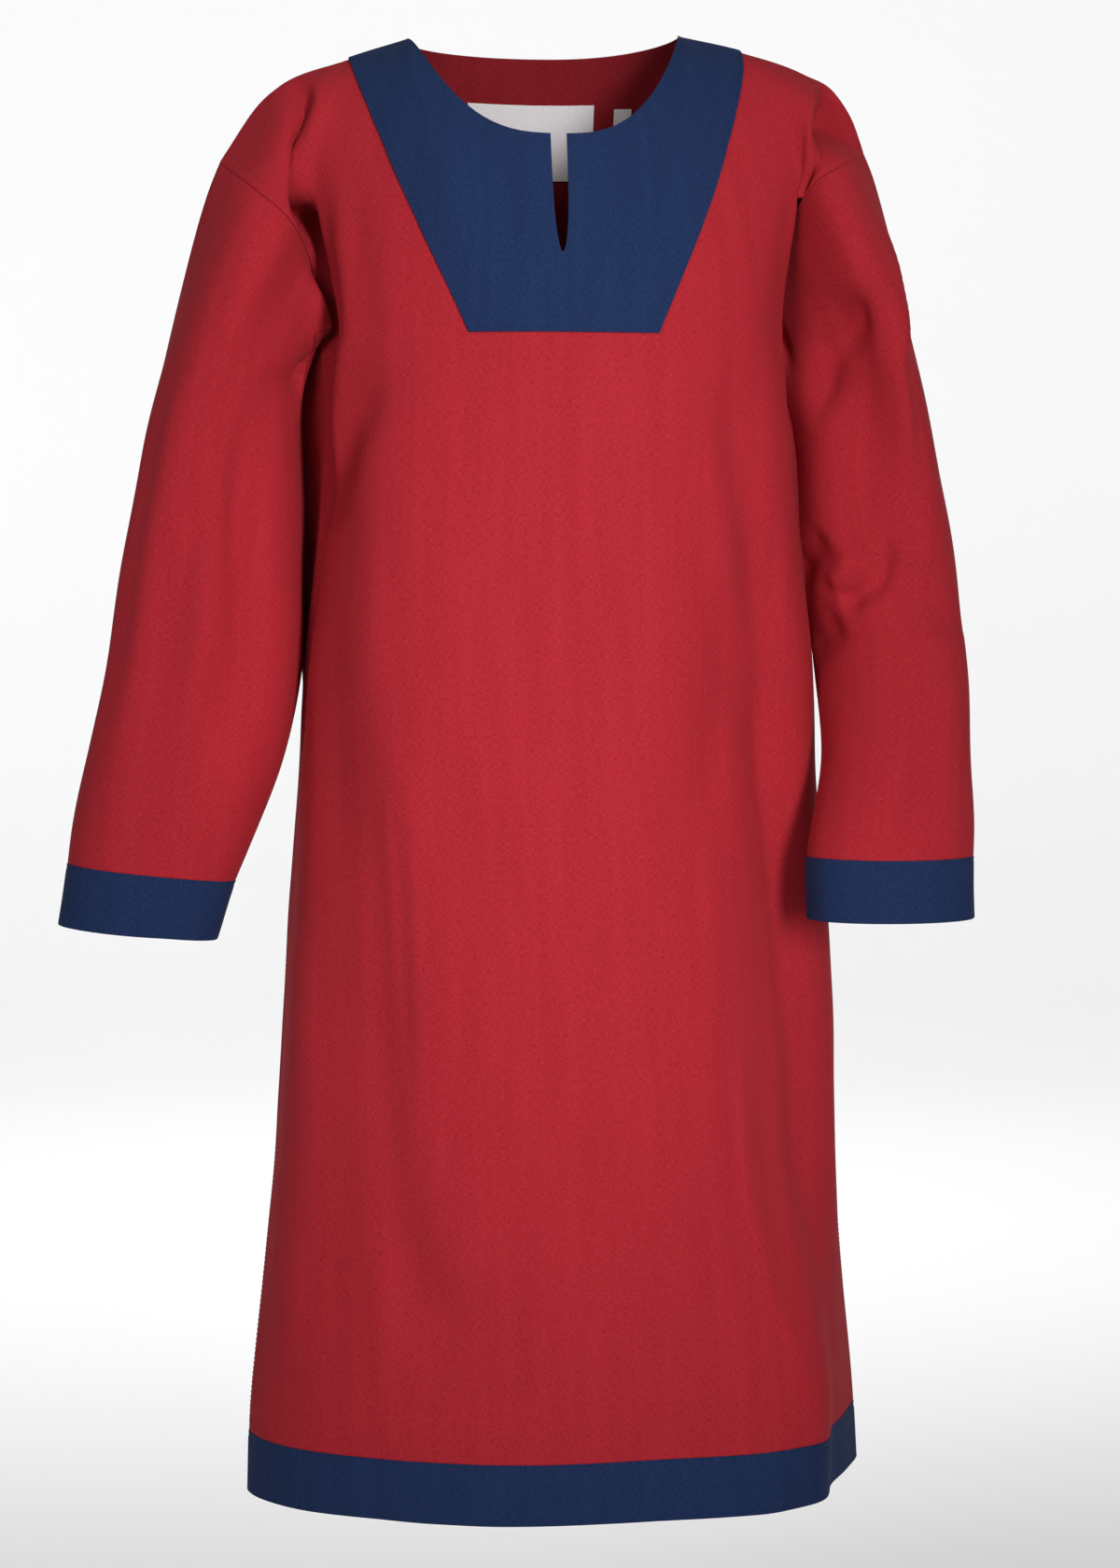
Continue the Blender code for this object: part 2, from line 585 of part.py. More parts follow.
def build_cuff(side, name):
    """Double band at the end of a sleeve."""
    angles = np.linspace(0, 2 * math.pi, SLEEVE_COLUMNS, endpoint=False)
    grid = arm_ring(side, np.linspace(CUFF_TOPS[side], CUFF_ENDS[side], BAND_ROWS + 1), angles)
    folds = bump(ARM_FOLDS[side], np.degrees(angles)[None, :], -grid[..., 2])
    normal = around(grid, side) * (1, 1, 0)
    outer = grid + normal * (BAND_PROUD - folds[..., None])
    wall(name, tube(outer, side), tube(outer - normal * BAND_CLOTH, side), BLUE_CLOTH, closed=True)


def around(grid, side):
    """Outward directions of a tube whose columns join up."""
    joined = np.concatenate([grid[:, -1:], grid, grid[:, :1]], axis=1)
    return outward(joined)[:, 1:-1] * -side


def tube(grid, side):
    """Columns of a tube in the order that turns its faces out."""
    return grid[:, ::-side]


def build_hem(name, facing, columns, folds):
    """Double band along the lower edge of a panel."""
    downs = np.linspace(LENGTH - HEM_BAND, LENGTH, BAND_ROWS + 1)
    places = np.tile(np.linspace(-1, 1, columns + 1), (len(downs), 1))
    grid, normal = panel(places, np.empty(0), downs, facing, folds)
    outer = grid + normal * BAND_PROUD
    turned = slice(None, None, -facing)
    wall(name, outer[:, turned], (outer - normal * BAND_CLOTH)[:, turned], BLUE_CLOTH)


def main():
    """Build every piece of the tunic."""
    clear_scene()
    garment = bpy.data.collections.new(GARMENT)
    bpy.context.scene.collection.children.link(garment)
    build_front()
    build_back()
    build_sleeve(RIGHT, "sleeve_right")
    build_sleeve(LEFT, "sleeve_left")
    build_cuff(RIGHT, "cuff_right")
    build_cuff(LEFT, "cuff_left")
    build_hem("hem_band_front", -1, 2 * (FRONT_INSIDE_YOKE + FRONT_OUTSIDE_YOKE), FRONT_FOLDS)
    build_hem("hem_band_back", 1, 2 * BACK_COLUMNS, BACK_FOLDS)


main()
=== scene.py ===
"""Looks of a medieval tunic: creased cloth shells, weave, stitching and a pale studio.

Metres, +Z up, the front faces -Y. Right and left are the wearer's: right is -X, left is +X.
"""

import logging
import math
from dataclasses import dataclass, field
from enum import Enum

import bpy
import numpy as np
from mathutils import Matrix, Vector


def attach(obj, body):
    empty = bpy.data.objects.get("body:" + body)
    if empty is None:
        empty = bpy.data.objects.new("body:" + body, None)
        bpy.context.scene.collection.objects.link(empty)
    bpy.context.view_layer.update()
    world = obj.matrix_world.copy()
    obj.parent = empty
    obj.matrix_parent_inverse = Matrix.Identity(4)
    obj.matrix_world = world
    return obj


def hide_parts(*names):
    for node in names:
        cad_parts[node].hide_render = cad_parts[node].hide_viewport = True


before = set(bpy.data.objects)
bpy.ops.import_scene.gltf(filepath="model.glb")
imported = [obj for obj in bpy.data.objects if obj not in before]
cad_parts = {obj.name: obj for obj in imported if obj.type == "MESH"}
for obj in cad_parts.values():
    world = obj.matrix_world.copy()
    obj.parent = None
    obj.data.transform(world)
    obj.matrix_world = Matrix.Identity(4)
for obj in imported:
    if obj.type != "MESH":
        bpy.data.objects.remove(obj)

LOG = logging.getLogger("tunic")
Array = np.ndarray
Table = tuple[tuple[float, ...], ...]

BODY = "root"
FLAT_MAP = "flat"
# face attribute that marks the inner faces, which the cloth material darkens as painted shade
PAINTED_SHADE_MASK = "inside"

# steps beside an edge, close enough for its rounded rim
CLOSE_STEPS = (0.0003, 0.0008, 0.0016, 0.0028)
# reach of the rounding at an open edge and at a seam, and the share of the wall left at a seam
EDGE_RIM = 0.0016
SEAM_RIM = 0.0010
SEAM_LEAST = 0.7
# distance that no rounding reaches
FAR = 1.0
# power that fills out the ends of a broad fold
FOLD_SWELL = 0.8
LEAST_FADE = 1e-3
TINY = 1e-12
# how far short of the number of rows a row number stays, so that it has a next row
LAST_ROW = 1.001
# colour that the inner faces are mixed towards, as painted shade
PAINTED_SHADE_BLACK = (0.0, 0.0, 0.0, 1.0)


class Side(Enum):
    """The wearer's two sides, as the sign of X."""

    RIGHT = -1
    LEFT = 1


class Facing(Enum):
    """The two panels, as the sign of Y."""

    FRONT = -1
    BACK = 1


class Slot(Enum):
    """Material slots of the record."""

    RED = "red_cloth"
    BLUE = "blue_cloth"
    WHITE = "white_weave"


class Hold(Enum):
    """Ways in which a sheet of cloth is held."""

    HUNG = "hung"
    LAID = "laid"


def hermite(start: Array, leave: Array, end: Array, arrive: Array, part: Array) -> Array:
    """Cubic between two points.

    Args:
        start, end: the two points.
        leave, arrive: slopes at the two points.
        part: way along, from 0 to 1.

    Returns:
        Points on the cubic.
    """
    square, cube = part * part, part * part * part
    ends = (2 * cube - 3 * square + 1) * start + (3 * square - 2 * cube) * end
    return ends + (cube - 2 * square + part) * leave + (cube - square) * arrive


def through(table: Table, at: Array) -> Array:
    """Smooth values of a table's other columns.

    Args:
        table: rows whose first column rises.
        at: values of the first column.

    Returns:
        The other columns at those values, in a last axis.
    """
    rows = np.array(table, float)
    knots, values = rows[:, 0], rows[:, 1:]
    slopes = np.gradient(values, knots, axis=0)
    at = np.clip(np.asarray(at, float), knots[0], knots[-1])
    low = np.clip(np.searchsorted(knots, at, side="right") - 1, 0, len(knots) - 2)
    span = (knots[low + 1] - knots[low])[..., None]
    part = (at - knots[low])[..., None] / span
    return hermite(values[low], slopes[low] * span, values[low + 1], slopes[low + 1] * span, part)


def ease(value: Array) -> Array:
    """Smooth step from 0 to 1."""
    value = np.clip(value, 0.0, 1.0)
    return value * value * (3 - 2 * value)


def unit(vectors: Array) -> Array:
    """Vectors scaled to a length of one."""
    return vectors / np.maximum(np.linalg.norm(vectors, axis=-1, keepdims=True), TINY)


def outward(grid: Array) -> Array:
    """Normals of a grid whose rows run down and whose columns run rightwards seen from outside."""
    return unit(np.cross(np.gradient(grid, axis=0), np.gradient(grid, axis=1)))


def spaced(length: float, step: float, fine_start: bool, fine_end: bool) -> Array:
    """Shares of a length, with close steps at the edges that need a rounded rim.

    Args:
        length: length in metres.
        step: usual step in metres.
        fine_start, fine_end: whether that end gets close steps.

    Returns:
        Rising shares from 0 to 1.
    """
    close = np.array(CLOSE_STEPS)
    inner = np.linspace(0, length, max(2, round(length / step)) + 1)
    low = close if fine_start else np.empty(0)
    high = length - close[::-1] if fine_end else np.empty(0)
    clear = step / 3
    kept = inner[(inner == 0) | (inner > low.max(initial=0) + clear)]
    kept = kept[(kept == length) | (kept < high.min(initial=length) - clear)]
    return np.sort(np.concatenate([low, kept, high])) / length


def groove(away: Array, width: float | Array) -> Array:
    """Rounded groove: 1 in its middle, falling to 0 at distances beyond its width."""
    return np.exp(-((away / width) ** 2))


def fold_depth(folds: Table, across: Array, down: Array) -> Array:
    """How far broad folds draw cloth in.

    Args:
        folds: rows of across and down at the top, the same two at the foot, width, and depth inwards.
        across: place or angle of each point.
        down: level of each point.

    Returns:
        Depth of each point in metres.
    """
    depth = np.zeros(across.shape)
    for across_top, down_top, across_low, down_low, width, most in folds:
        along = np.clip((down - down_top) / (down_low - down_top), 0, 1)
        centre = across_top + (across_low - across_top) * along
        depth += most * np.sin(math.pi * along) ** FOLD_SWELL * groove(across - centre, width)
    return depth


def mirrored(half: Array) -> Array:
    """Places from -1 to 1, of which those from 0 to 1 are given."""
    return np.concatenate([-half[:0:-1], half])


def on_first(rows: int, values: Array, rest: float) -> Array:
    """Values for the first rows, and one value for the rest.

    Args:
        rows: number of rows.
        values: values of the first rows.
        rest: value of the other rows.

    Returns:
        One value for each row.
    """
    column = np.full(rows, rest)
    column[: len(values)] = values
    return column


@dataclass(frozen=True)
class TunicForm:
    """Shape of the worn tunic: the form of its solids, with deeper armholes and a few changed sections."""

    length: float = 1.075
    chest: float = 0.221
    hem_band: float = 0.045
    neck_half: float = 0.100
    neck_front_drop: float = 0.080
    neck_fore: float = 0.088
    neck_back_drop: float = 0.004
    neck_aft: float = 0.072
    neck_curve: float = 2.8
    neck_share: float = 0.41
    slit_length: float = 0.085
    slit_half_width: float = 0.0062
    yoke_share_top: float = 0.60
    yoke_share_low: float = 0.295
    yoke_bow: float = 1.2
    forward: tuple[float, float] = (0.30, 0.80)
    drop: tuple[float, float] = (0.95, 0.30)
    chest_drop: float = 0.90
    fan: float = 0.40
    fan_end: float = 0.80
    pull_start: tuple[float, float] = (0.50, 0.80)
    pull_part: float = 0.60
    cap_out: tuple[float, float] = (0.36, 0.06)
    cap_fore: float = 0.62
    cap_down: float = 0.75
    cap_step: float = 0.004
    corner_width: float = 0.16
    corner_fade: float = 0.30
    corner_blend: Table = ((-0.16, 0.12), (-0.08, 0.23), (0.0, 0.30), (0.08, 0.23), (0.16, 0.12))
    armpit_fade: float = 0.070
    neck_lean: int = 3
    over_start: float = 0.25
    section_points: int = 481
    # down, half width, front, back, power right, power left, tuck, turn, shift
    sections: Table = (
        (0.221, 0.168, 0.118, 0.108, 2.3, 2.3, 0.000, 0.0, 0.008),
        (0.300, 0.174, 0.126, 0.112, 2.6, 2.3, 0.000, 0.0, 0.011),
        (0.360, 0.178, 0.130, 0.114, 2.8, 2.3, 0.000, 0.0, 0.011),
        (0.460, 0.189, 0.134, 0.118, 2.8, 2.4, 0.000, 0.5, 0.011),
        (0.530, 0.193, 0.135, 0.120, 2.6, 2.4, 0.000, 1.0, 0.011),
        (0.670, 0.204, 0.137, 0.124, 2.3, 2.5, 0.000, 1.5, 0.012),
        (0.810, 0.2115, 0.139, 0.130, 2.2, 2.8, 0.008, 2.0, 0.011),
        (0.920, 0.222, 0.140, 0.134, 2.0, 3.2, 0.032, 2.5, 0.010),
        (1.020, 0.233, 0.140, 0.138, 1.80, 4.0, 0.063, 3.5, 0.010),
        (1.075, 0.236, 0.140, 0.139, 1.70, 4.4, 0.077, 4.0, 0.011),
    )
    # share, out, down
    shoulder_right: Table = (
        (0.00, 0.100, 0.002),
        (0.34, 0.146, 0.017),
        (0.66, 0.194, 0.036),
        (0.82, 0.214, 0.055),
        (0.92, 0.228, 0.076),
        (1.00, 0.238, 0.092),
    )
    shoulder_left: Table = (
        (0.00, 0.100, -0.004),
        (0.34, 0.150, 0.006),
        (0.66, 0.197, 0.021),
        (0.82, 0.220, 0.034),
        (0.92, 0.234, 0.055),
        (1.00, 0.242, 0.078),
    )
    # share, out, fore, aft, down
    armhole_right: Table = (
        (0.00, 0.238, 0.000, 0.000, 0.092),
        (0.25, 0.213, 0.048, 0.045, 0.118),
        (0.42, 0.190, 0.052, 0.064, 0.138),
        (0.58, 0.175, 0.022, 0.062, 0.160),
        (0.80, 0.168, -0.004, 0.035, 0.200),
        (1.00, 0.165, 0.000, 0.000, 0.221),
    )
    armhole_left: Table = (
        (0.00, 0.242, 0.000, 0.000, 0.078),
        (0.25, 0.214, 0.048, 0.045, 0.094),
        (0.42, 0.193, 0.052, 0.064, 0.108),
        (0.58, 0.180, 0.022, 0.062, 0.140),
        (0.80, 0.173, -0.002, 0.035, 0.190),
        (1.00, 0.171, 0.000, 0.000, 0.221),
    )
    # down, out, fore, half width, half depth, lean, skew
    arm_right: Table = (
        (0.310, 0.239, 0.002, 0.056, 0.058, 2.0, 0.24),
        (0.361, 0.243, 0.002, 0.062, 0.060, 4.0, 0.24),
        (0.468, 0.253, 0.006, 0.071, 0.060, 6.0, 0.16),
        (0.522, 0.265, 0.010, 0.071, 0.058, 7.0, 0.08),
        (0.590, 0.286, 0.016, 0.065, 0.050, 7.0, 0.0),
        (0.610, 0.292, 0.018, 0.062, 0.047, 6.5, 0.0),
        (0.654, 0.303, 0.018, 0.058, 0.043, 6.0, 0.0),
    )
    arm_left: Table = (
        (0.310, 0.244, 0.000, 0.052, 0.058, 0.0, 0.14),
        (0.361, 0.249, 0.008, 0.055, 0.058, 0.0, 0.16),
        (0.468, 0.259, 0.038, 0.052, 0.057, 0.0, 0.16),
        (0.522, 0.254, 0.068, 0.054, 0.054, 0.0, 0.10),
        (0.577, 0.245, 0.097, 0.060, 0.049, 0.0, 0.0),
        (0.597, 0.242, 0.103, 0.0615, 0.047, 0.0, 0.0),
        (0.642, 0.241, 0.110, 0.062, 0.044, 0.0, 0.0),
    )
    cuff_top: tuple[float, float] = (0.610, 0.597)
    cuff_end: tuple[float, float] = (0.654, 0.642)

    def arm(self, side: Side) -> Table:
        """Sections of one sleeve."""
        return self.arm_right if side is Side.RIGHT else self.arm_left

    def cuff(self, side: Side) -> tuple[float, float]:
        """Levels of a cuff's seam and of its open end."""
        at = 0 if side is Side.RIGHT else 1
        return self.cuff_top[at], self.cuff_end[at]

    def body_points(self, place: Array, down: Array, facing: Facing) -> Array:
        """Points of the body below the armpits.

        Args:
            place: from -1 to 1 between the side seams.
            down: level of each row below the shoulders.
            facing: front or back.

        Returns:
            Points, shaped as the broadcast arguments.
        """
        place, down = np.broadcast_arrays(np.asarray(place, float), np.asarray(down, float))
        points = np.empty(place.shape + (3,))
        angle = np.linspace(-math.pi / 2, math.pi / 2, self.section_points)
        for index in np.ndindex(place.shape[:-1]):
            half, front, back, right, left, tuck, turn, shift = through(self.sections, down[index][0])
            bend = 2 / np.where(angle < 0, right, left)
            x = half * np.sign(np.sin(angle)) * np.abs(np.sin(angle)) ** bend
            reach = np.cos(angle).clip(0) ** bend
            y = reach * (-front if facing is Facing.FRONT else back)
            if facing is Facing.FRONT:
                x = x - tuck * reach * ease(np.sin(angle))
            along = np.concatenate([[0], np.cumsum(np.hypot(np.diff(x), np.diff(y)))])
            wanted = (place[index] + 1) / 2 * along[-1] - shift * (1 - place[index] ** 2)
            x, y = np.interp(wanted, along, x), np.interp(wanted, along, y)
            turned = math.radians(turn)
            points[index][:, 0] = x * math.cos(turned) - y * math.sin(turned) + shift
            points[index][:, 1] = x * math.sin(turned) + y * math.cos(turned)
            points[index][:, 2] = -down[index]
        return points

    def top_edge(self, place: Array, facing: Facing) -> Array:
        """Neckline and shoulder seams of a panel.

        Args:
            place: from -1 to 1 across the panel.
            facing: front or back.

        Returns:
            Points of the edge.
        """
        angle = np.clip(np.abs(place) / self.neck_share, 0, 1) * math.pi / 2
        is_front = facing is Facing.FRONT
        drop = self.neck_front_drop if is_front else self.neck_back_drop
        reach = -self.neck_fore if is_front else self.neck_aft
        share = np.clip((np.abs(place) - self.neck_share) / (1 - self.neck_share), 0, 1)
        right, left = through(self.shoulder_right, share), through(self.shoulder_left, share)
        out, down = np.moveaxis(np.where((place < 0)[..., None], right, left), -1, 0)
        corner_right, corner_left = self.shoulder_right[0][2], self.shoulder_left[0][2]
        lean = (corner_left - corner_right) / 2 * np.sin(angle) ** self.neck_lean * np.sign(place)
        in_neck = np.abs(place) < self.neck_share
        x = np.where(in_neck, self.neck_half * np.sin(angle), out) * np.sign(place)
        y = np.where(in_neck, reach * np.cos(angle), 0.0)
        neck_z = -drop * (1 - np.sin(angle) ** self.neck_curve) - lean - (corner_left + corner_right) / 2
        return np.stack([x, y, np.where(in_neck, neck_z, -down)], axis=-1)

    def armhole(self, side: Side, share: Array, facing: Facing) -> Array:
        """Points of the armhole seam.

        Args:
            side: the wearer's right or left.
            share: from 0 on the shoulder to 1 in the armpit.
            facing: front or back.

        Returns:
            Points, one for each value.
        """
        table = self.armhole_right if side is Side.RIGHT else self.armhole_left
        out, fore, aft, down = np.moveaxis(through(table, share), -1, 0)
        return np.stack([side.value * out, -fore if facing is Facing.FRONT else aft, -down], axis=-1)

    def column_points(self, place: Array, part: Array, facing: Facing) -> Array:
        """Columns from the top edge of a panel down to the chest.

        Args:
            place: from -1 to 1 across the panel.
            part: from 0 at the top edge to 1 at the chest.
            facing: front or back.

        Returns:
            Points, shaped as place.
        """
        top, low = self.top_edge(place, facing), self.body_points(place, np.array(self.chest), facing)
        reach = np.linalg.norm(low - top, axis=-1)
        start = self.over_start * self.neck_share
        over = ease((np.abs(place) - start) / ((1 - self.over_start) * self.neck_share))
        forward = self.forward[0] + (self.forward[1] - self.forward[0]) * over
        drop = self.drop[0] + (self.drop[1] - self.drop[0]) * over
        fading = ease((self.fan_end - np.abs(place)) / (self.fan_end - self.neck_share))
        fan = self.fan * ease(np.abs(place) / self.neck_share) * fading
        leave = np.stack([fan * np.sign(place), facing.value * forward, -drop], axis=-1) * reach[..., None]
        arrive = np.array([0.0, 0.0, -self.chest_drop]) * reach[..., None]
        return hermite(top, leave, low, arrive, part[..., None])

    def upper_points(self, place: Array, part: Array, facing: Facing) -> Array:
        """Points of a panel above the armpits.

        Args:
            place: from -1 to 1 across the panel.
            part: from 0 at the top edge to 1 at the chest.
            facing: front or back.

        Returns:
            Points, one for each value.
        """
        points = self.column_points(place, part, facing)
        start = self.pull_start[0] + (self.pull_start[1] - self.pull_start[0]) * ease(part / self.pull_part)
        for side in Side:
            edge = self.column_points(np.full_like(place, side.value), part, facing)
            pull = ease((side.value * place - start) / (1 - start))[..., None]
            points = points + pull * (self.armhole(side, part, facing) - edge)
        return points

    def rounded_upper(self, place: Array, part: Array, facing: Facing) -> Array:
        """Points above the armpits, with the kink below the neck's corners rounded out.

        Args:
            place: from -1 to 1 across the panel.
            part: from 0 at the top edge to 1 at the chest.
            facing: front or back.

        Returns:
            Points, one for each value.
        """
        near = groove(np.abs(place) - self.neck_share, self.corner_width)
        near = near * ease(part / self.corner_fade)
        points = np.zeros(place.shape + (3,))
        for shift, weight in self.corner_blend:
            points += weight * self.upper_points(place + shift * near, part, facing)
        return points

    def lower_points(self, place: Array, down: Array, facing: Facing) -> Array:
        """Points below the armpits, drawn to the ends of the armhole seams near the chest.

        Args:
            place: from -1 to 1 across the panel.
            down: level of each row below the shoulders.
            facing: front or back.

        Returns:
            Points, one for each value.
        """
        points = self.body_points(place, down, facing)
        fading = 1 - ease((down - self.chest) / self.armpit_fade)
        for side in Side:
            end = self.armhole(side, np.array(1.0), facing)
            edge = self.body_points(np.array([side.value]), np.array(self.chest), facing)[0]
            pull = ease((side.value * place - self.pull_start[1]) / (1 - self.pull_start[1])) * fading
            points = points + pull[..., None] * (end - edge)
        return points

    def slit_half(self, down: Array) -> Array:
        """Half width of the neck slit at a level."""
        closing = np.clip((down - self.neck_front_drop) / self.slit_length, 0, 1)
        return self.slit_half_width * np.sqrt(1 - closing**3)

    def yoke_edge(self, part: Array) -> Array:
        """Place of the yoke's edge at each part of the way down to the chest."""
        return self.yoke_share_top + (self.yoke_share_low - self.yoke_share_top) * part**self.yoke_bow

    def arm_ring(self, side: Side, down: Array, angles: Array) -> Array:
        """Oval sections of a sleeve.

        Args:
            side: the wearer's right or left.
            down: level of each section.
            angles: in radians, 0 at the outer side and a quarter turn at the front.

        Returns:
            Points, a row for each section.
        """
        values = np.moveaxis(through(self.arm(side), down), -1, 0)[..., None]
        out, fore, half_width, half_depth, lean, skew = values
        across = half_width * np.cos(angles) + skew * half_depth * np.sin(angles)
        tilt = np.radians(lean)
        x = side.value * (out + across * np.cos(tilt))
        y = -fore - half_depth * np.sin(angles)
        z = -down[..., None] + across * np.sin(tilt)
        return np.stack([x, y, z], axis=-1)

    def cap_points(self, side: Side, angles: Array, parts: Array) -> Array:
        """Upper sleeve, from the armhole seam to the first section of the arm.

        Args:
            side: the wearer's right or left.
            angles: in radians, as for the sections.
            parts: from 0 at the seam to 1 at the section.

        Returns:
            Points, a row for each part.
        """
        turned = np.degrees(angles) % 360
        share = np.where(turned <= 180, turned, 360 - turned) / 180
        front = self.armhole(side, share, Facing.FRONT)
        back = self.armhole(side, share, Facing.BACK)
        start = np.where((turned <= 180)[:, None], front, back)
        first = self.arm(side)[0][0]
        ring = self.arm_ring(side, np.array([first]), angles)[0]
        reach = np.linalg.norm(ring - start, axis=-1, keepdims=True)
        outer, fore = np.cos(angles)[:, None], np.sin(angles)[:, None]
        sideways = side.value * (self.cap_out[0] - self.cap_out[1] * outer)
        leave = np.concatenate([sideways, -self.cap_fore * fore, -self.cap_down + 0 * outer], axis=1)
        arrive = unit(self.arm_ring(side, np.array([first + self.cap_step]), angles)[0] - ring)
        return hermite(start, leave * reach, ring, arrive * reach, parts[:, None, None])


@dataclass(frozen=True)
class Crease:
    """Soft trough or ridge along a path on a cloth surface.

    path holds (across, down) points: across is a share of a panel's half width or an angle in
    degrees. depth is inwards. lean makes the flank on one side of the path the wider one.
    """

    path: tuple[tuple[float, float], ...]
    width: float
    depth: float
    fade_in: float = 0.3
    fade_out: float = 0.3
    lean: float = 0.0

    def depth_at(self, across: Array, down: Array, scale: float) -> Array:
        """How far the crease draws the cloth in.

        Args:
            across: place or angle of each point.
            down: level of each point.
            scale: metres to one unit of across.

        Returns:
            Depth of each point in metres.
        """
        knots = np.array(self.path) * (scale, 1.0)
        lengths = np.hypot(*np.diff(knots, axis=0).T)
        starts = np.concatenate([[0], np.cumsum(lengths)])
        nearest = np.full(across.shape, np.inf)
        along, flank = np.zeros(across.shape), np.zeros(across.shape)
        for knot, step, length, start in zip(knots, np.diff(knots, axis=0), lengths, starts):
            x, y = across * scale - knot[0], down - knot[1]
            part = np.clip((x * step[0] + y * step[1]) / length**2, 0, 1)
            away = np.hypot(x - part * step[0], y - part * step[1])
            closer = away < nearest
            nearest = np.where(closer, away, nearest)
            along = np.where(closer, (start + part * length) / starts[-1], along)
            flank = np.where(closer, np.sign(x * step[1] - y * step[0]), flank)
        width = self.width * (1 + self.lean * flank)
        fade_in, fade_out = max(self.fade_in, LEAST_FADE), max(self.fade_out, LEAST_FADE)
        fade = ease(along / fade_in) * ease((1 - along) / fade_out)
        return self.depth * groove(nearest, width) * fade


@dataclass(frozen=True)
class Rumple:
    """Faint unevenness of cloth that hangs: a few long seeded waves, mostly upright."""

    seed: int
    height: float = 0.0011
    waves: int = 16
    shortest: float = 0.035
    longest: float = 0.150
    heading_spread: float = 0.55

    def depth_at(self, across: Array, down: Array) -> Array:
        """How far the waves draw the cloth in.

        Args:
            across, down: place of each point in metres.

        Returns:
            Depth of each point in metres.
        """
        dice = np.random.default_rng(self.seed)
        total = np.zeros(across.shape)
        for _ in range(self.waves):
            wavelength = dice.uniform(self.shortest, self.longest)
            heading = dice.normal(0.0, self.heading_spread)
            phase = dice.uniform(0, 2 * math.pi)
            along = across * math.cos(heading) + down * math.sin(heading)
            total += np.sin(2 * math.pi * along / wavelength + phase) * wavelength / self.longest
        return self.height * total / math.sqrt(self.waves)


@dataclass
class Surface:
    """Cloth surface as a grid of outer points with their outward normals.

    levels has a value for each row, across a value for each point.
    """

    levels: Array
    across: Array
    points: Array
    normals: Array

    def at(self, levels: Array, across: Array) -> tuple[Array, Array]:
        """Points and normals on a path.

        Args:
            levels: level of each point of the path.
            across: place or angle of each point of the path.

        Returns:
            Points and unit normals.
        """
        rows = len(self.levels)
        row = np.clip(np.interp(levels, self.levels, np.arange(rows)), 0, rows - LAST_ROW)
        low = row.astype(int)
        share = (row - low)[:, None]
        both = np.concatenate([self.points, self.normals], axis=-1)

        def on_row(index: int, place: float) -> list[float]:
            """Values on one row of the grid."""
            return [np.interp(place, self.across[index], both[index, :, axis]) for axis in range(6)]

        first = np.array([on_row(index, place) for index, place in zip(low, across)])
        second = np.array([on_row(index + 1, place) for index, place in zip(low, across)])
        mixed = first + (second - first) * share
        return mixed[:, :3], unit(mixed[:, 3:])

    def flat(self) -> Array:
        """Flat cloth coordinates.

        Returns:
            Metres across from the middle column, and metres up or down the cloth.
        """
        middle = self.points.shape[1] // 2
        across = np.linalg.norm(np.diff(self.points, axis=1), axis=-1).cumsum(axis=1)
        across = np.concatenate([np.zeros((len(across), 1)), across], axis=1)
        down = np.linalg.norm(np.diff(self.points, axis=0), axis=-1).cumsum(axis=0)
        down = np.concatenate([np.zeros((1, down.shape[1])), down])
        level = down[-1].mean() - down[-1] + down
        return np.stack([across - across[:, middle : middle + 1], level], axis=-1)


def rim(distance: Array, radius: float, least: float = 0.3) -> Array:
    """Share of a wall's thickness near a rounded edge, at distances from it."""
    near = 1 - np.clip(distance / radius, 0, 1)
    return least + (1 - least) * np.sqrt(1 - near**2)


def cloth_mesh(
    name: str, outer: Array, inner: Array, flat: Array, closed: bool, keep: Array | None
) -> bpy.types.Object:
    """Closed cloth wall between its outer and inner points.

    Args:
        name: name of the piece.
        outer, inner: grids of points.
        flat: flat cloth coordinates, with one more column than the points where closed.
        closed: whether the last column joins the first.
        keep: which cells to keep, or None for all.

    Returns:
        The piece, at the origin.
    """
    rows, columns = outer.shape[:2]
    index = np.arange(rows * columns).reshape(rows, columns)
    wide = np.concatenate([index, index[:, :1]], axis=1) if closed else index
    corners = (wide[:-1, :-1], wide[1:, :-1], wide[1:, 1:], wide[:-1, 1:])
    quads = np.stack(corners, axis=-1)
    maps = np.stack([flat[:-1, :-1], flat[1:, :-1], flat[1:, 1:], flat[:-1, 1:]], axis=-2)
    kept = np.ones(quads.shape[:2], bool) if keep is None else keep
    quads, maps = quads[kept], maps[kept]
    count = rows * columns
    starts, ends = quads.ravel(), np.roll(quads, -1, axis=1).ravel()
    lone = ~np.isin(starts * count + ends, ends * count + starts)
    starts, ends = starts[lone], ends[lone]
    edge = np.stack([ends, starts, starts + count, ends + count], axis=-1)
    spots = np.zeros((count, 2))
    spots[quads.ravel()] = maps.reshape(-1, 2)
    faces = np.concatenate([quads, quads[:, ::-1] + count, edge])
    loops = np.concatenate([maps, maps[:, ::-1], spots[edge % count]])
    used, faces = np.unique(faces, return_inverse=True)
    points = np.concatenate([outer.reshape(-1, 3), inner.reshape(-1, 3)])[used]
    mesh = bpy.data.meshes.new(name)
    mesh.from_pydata(points.tolist(), [], faces.reshape(-1, 4).tolist())
    mesh.uv_layers.new(name=FLAT_MAP).data.foreach_set("uv", loops.astype(np.float32).ravel())
    # inner faces get 1, so that the cloth material darkens them as painted shade
    inside = np.zeros(len(mesh.polygons), np.float32)
    inside[len(quads) : 2 * len(quads)] = 1.0
    mesh.attributes.new(PAINTED_SHADE_MASK, "FLOAT", "FACE").data.foreach_set("value", inside)
    mesh.shade_smooth()
    piece = bpy.data.objects.new(name, mesh)
    bpy.context.scene.collection.objects.link(piece)
    return piece


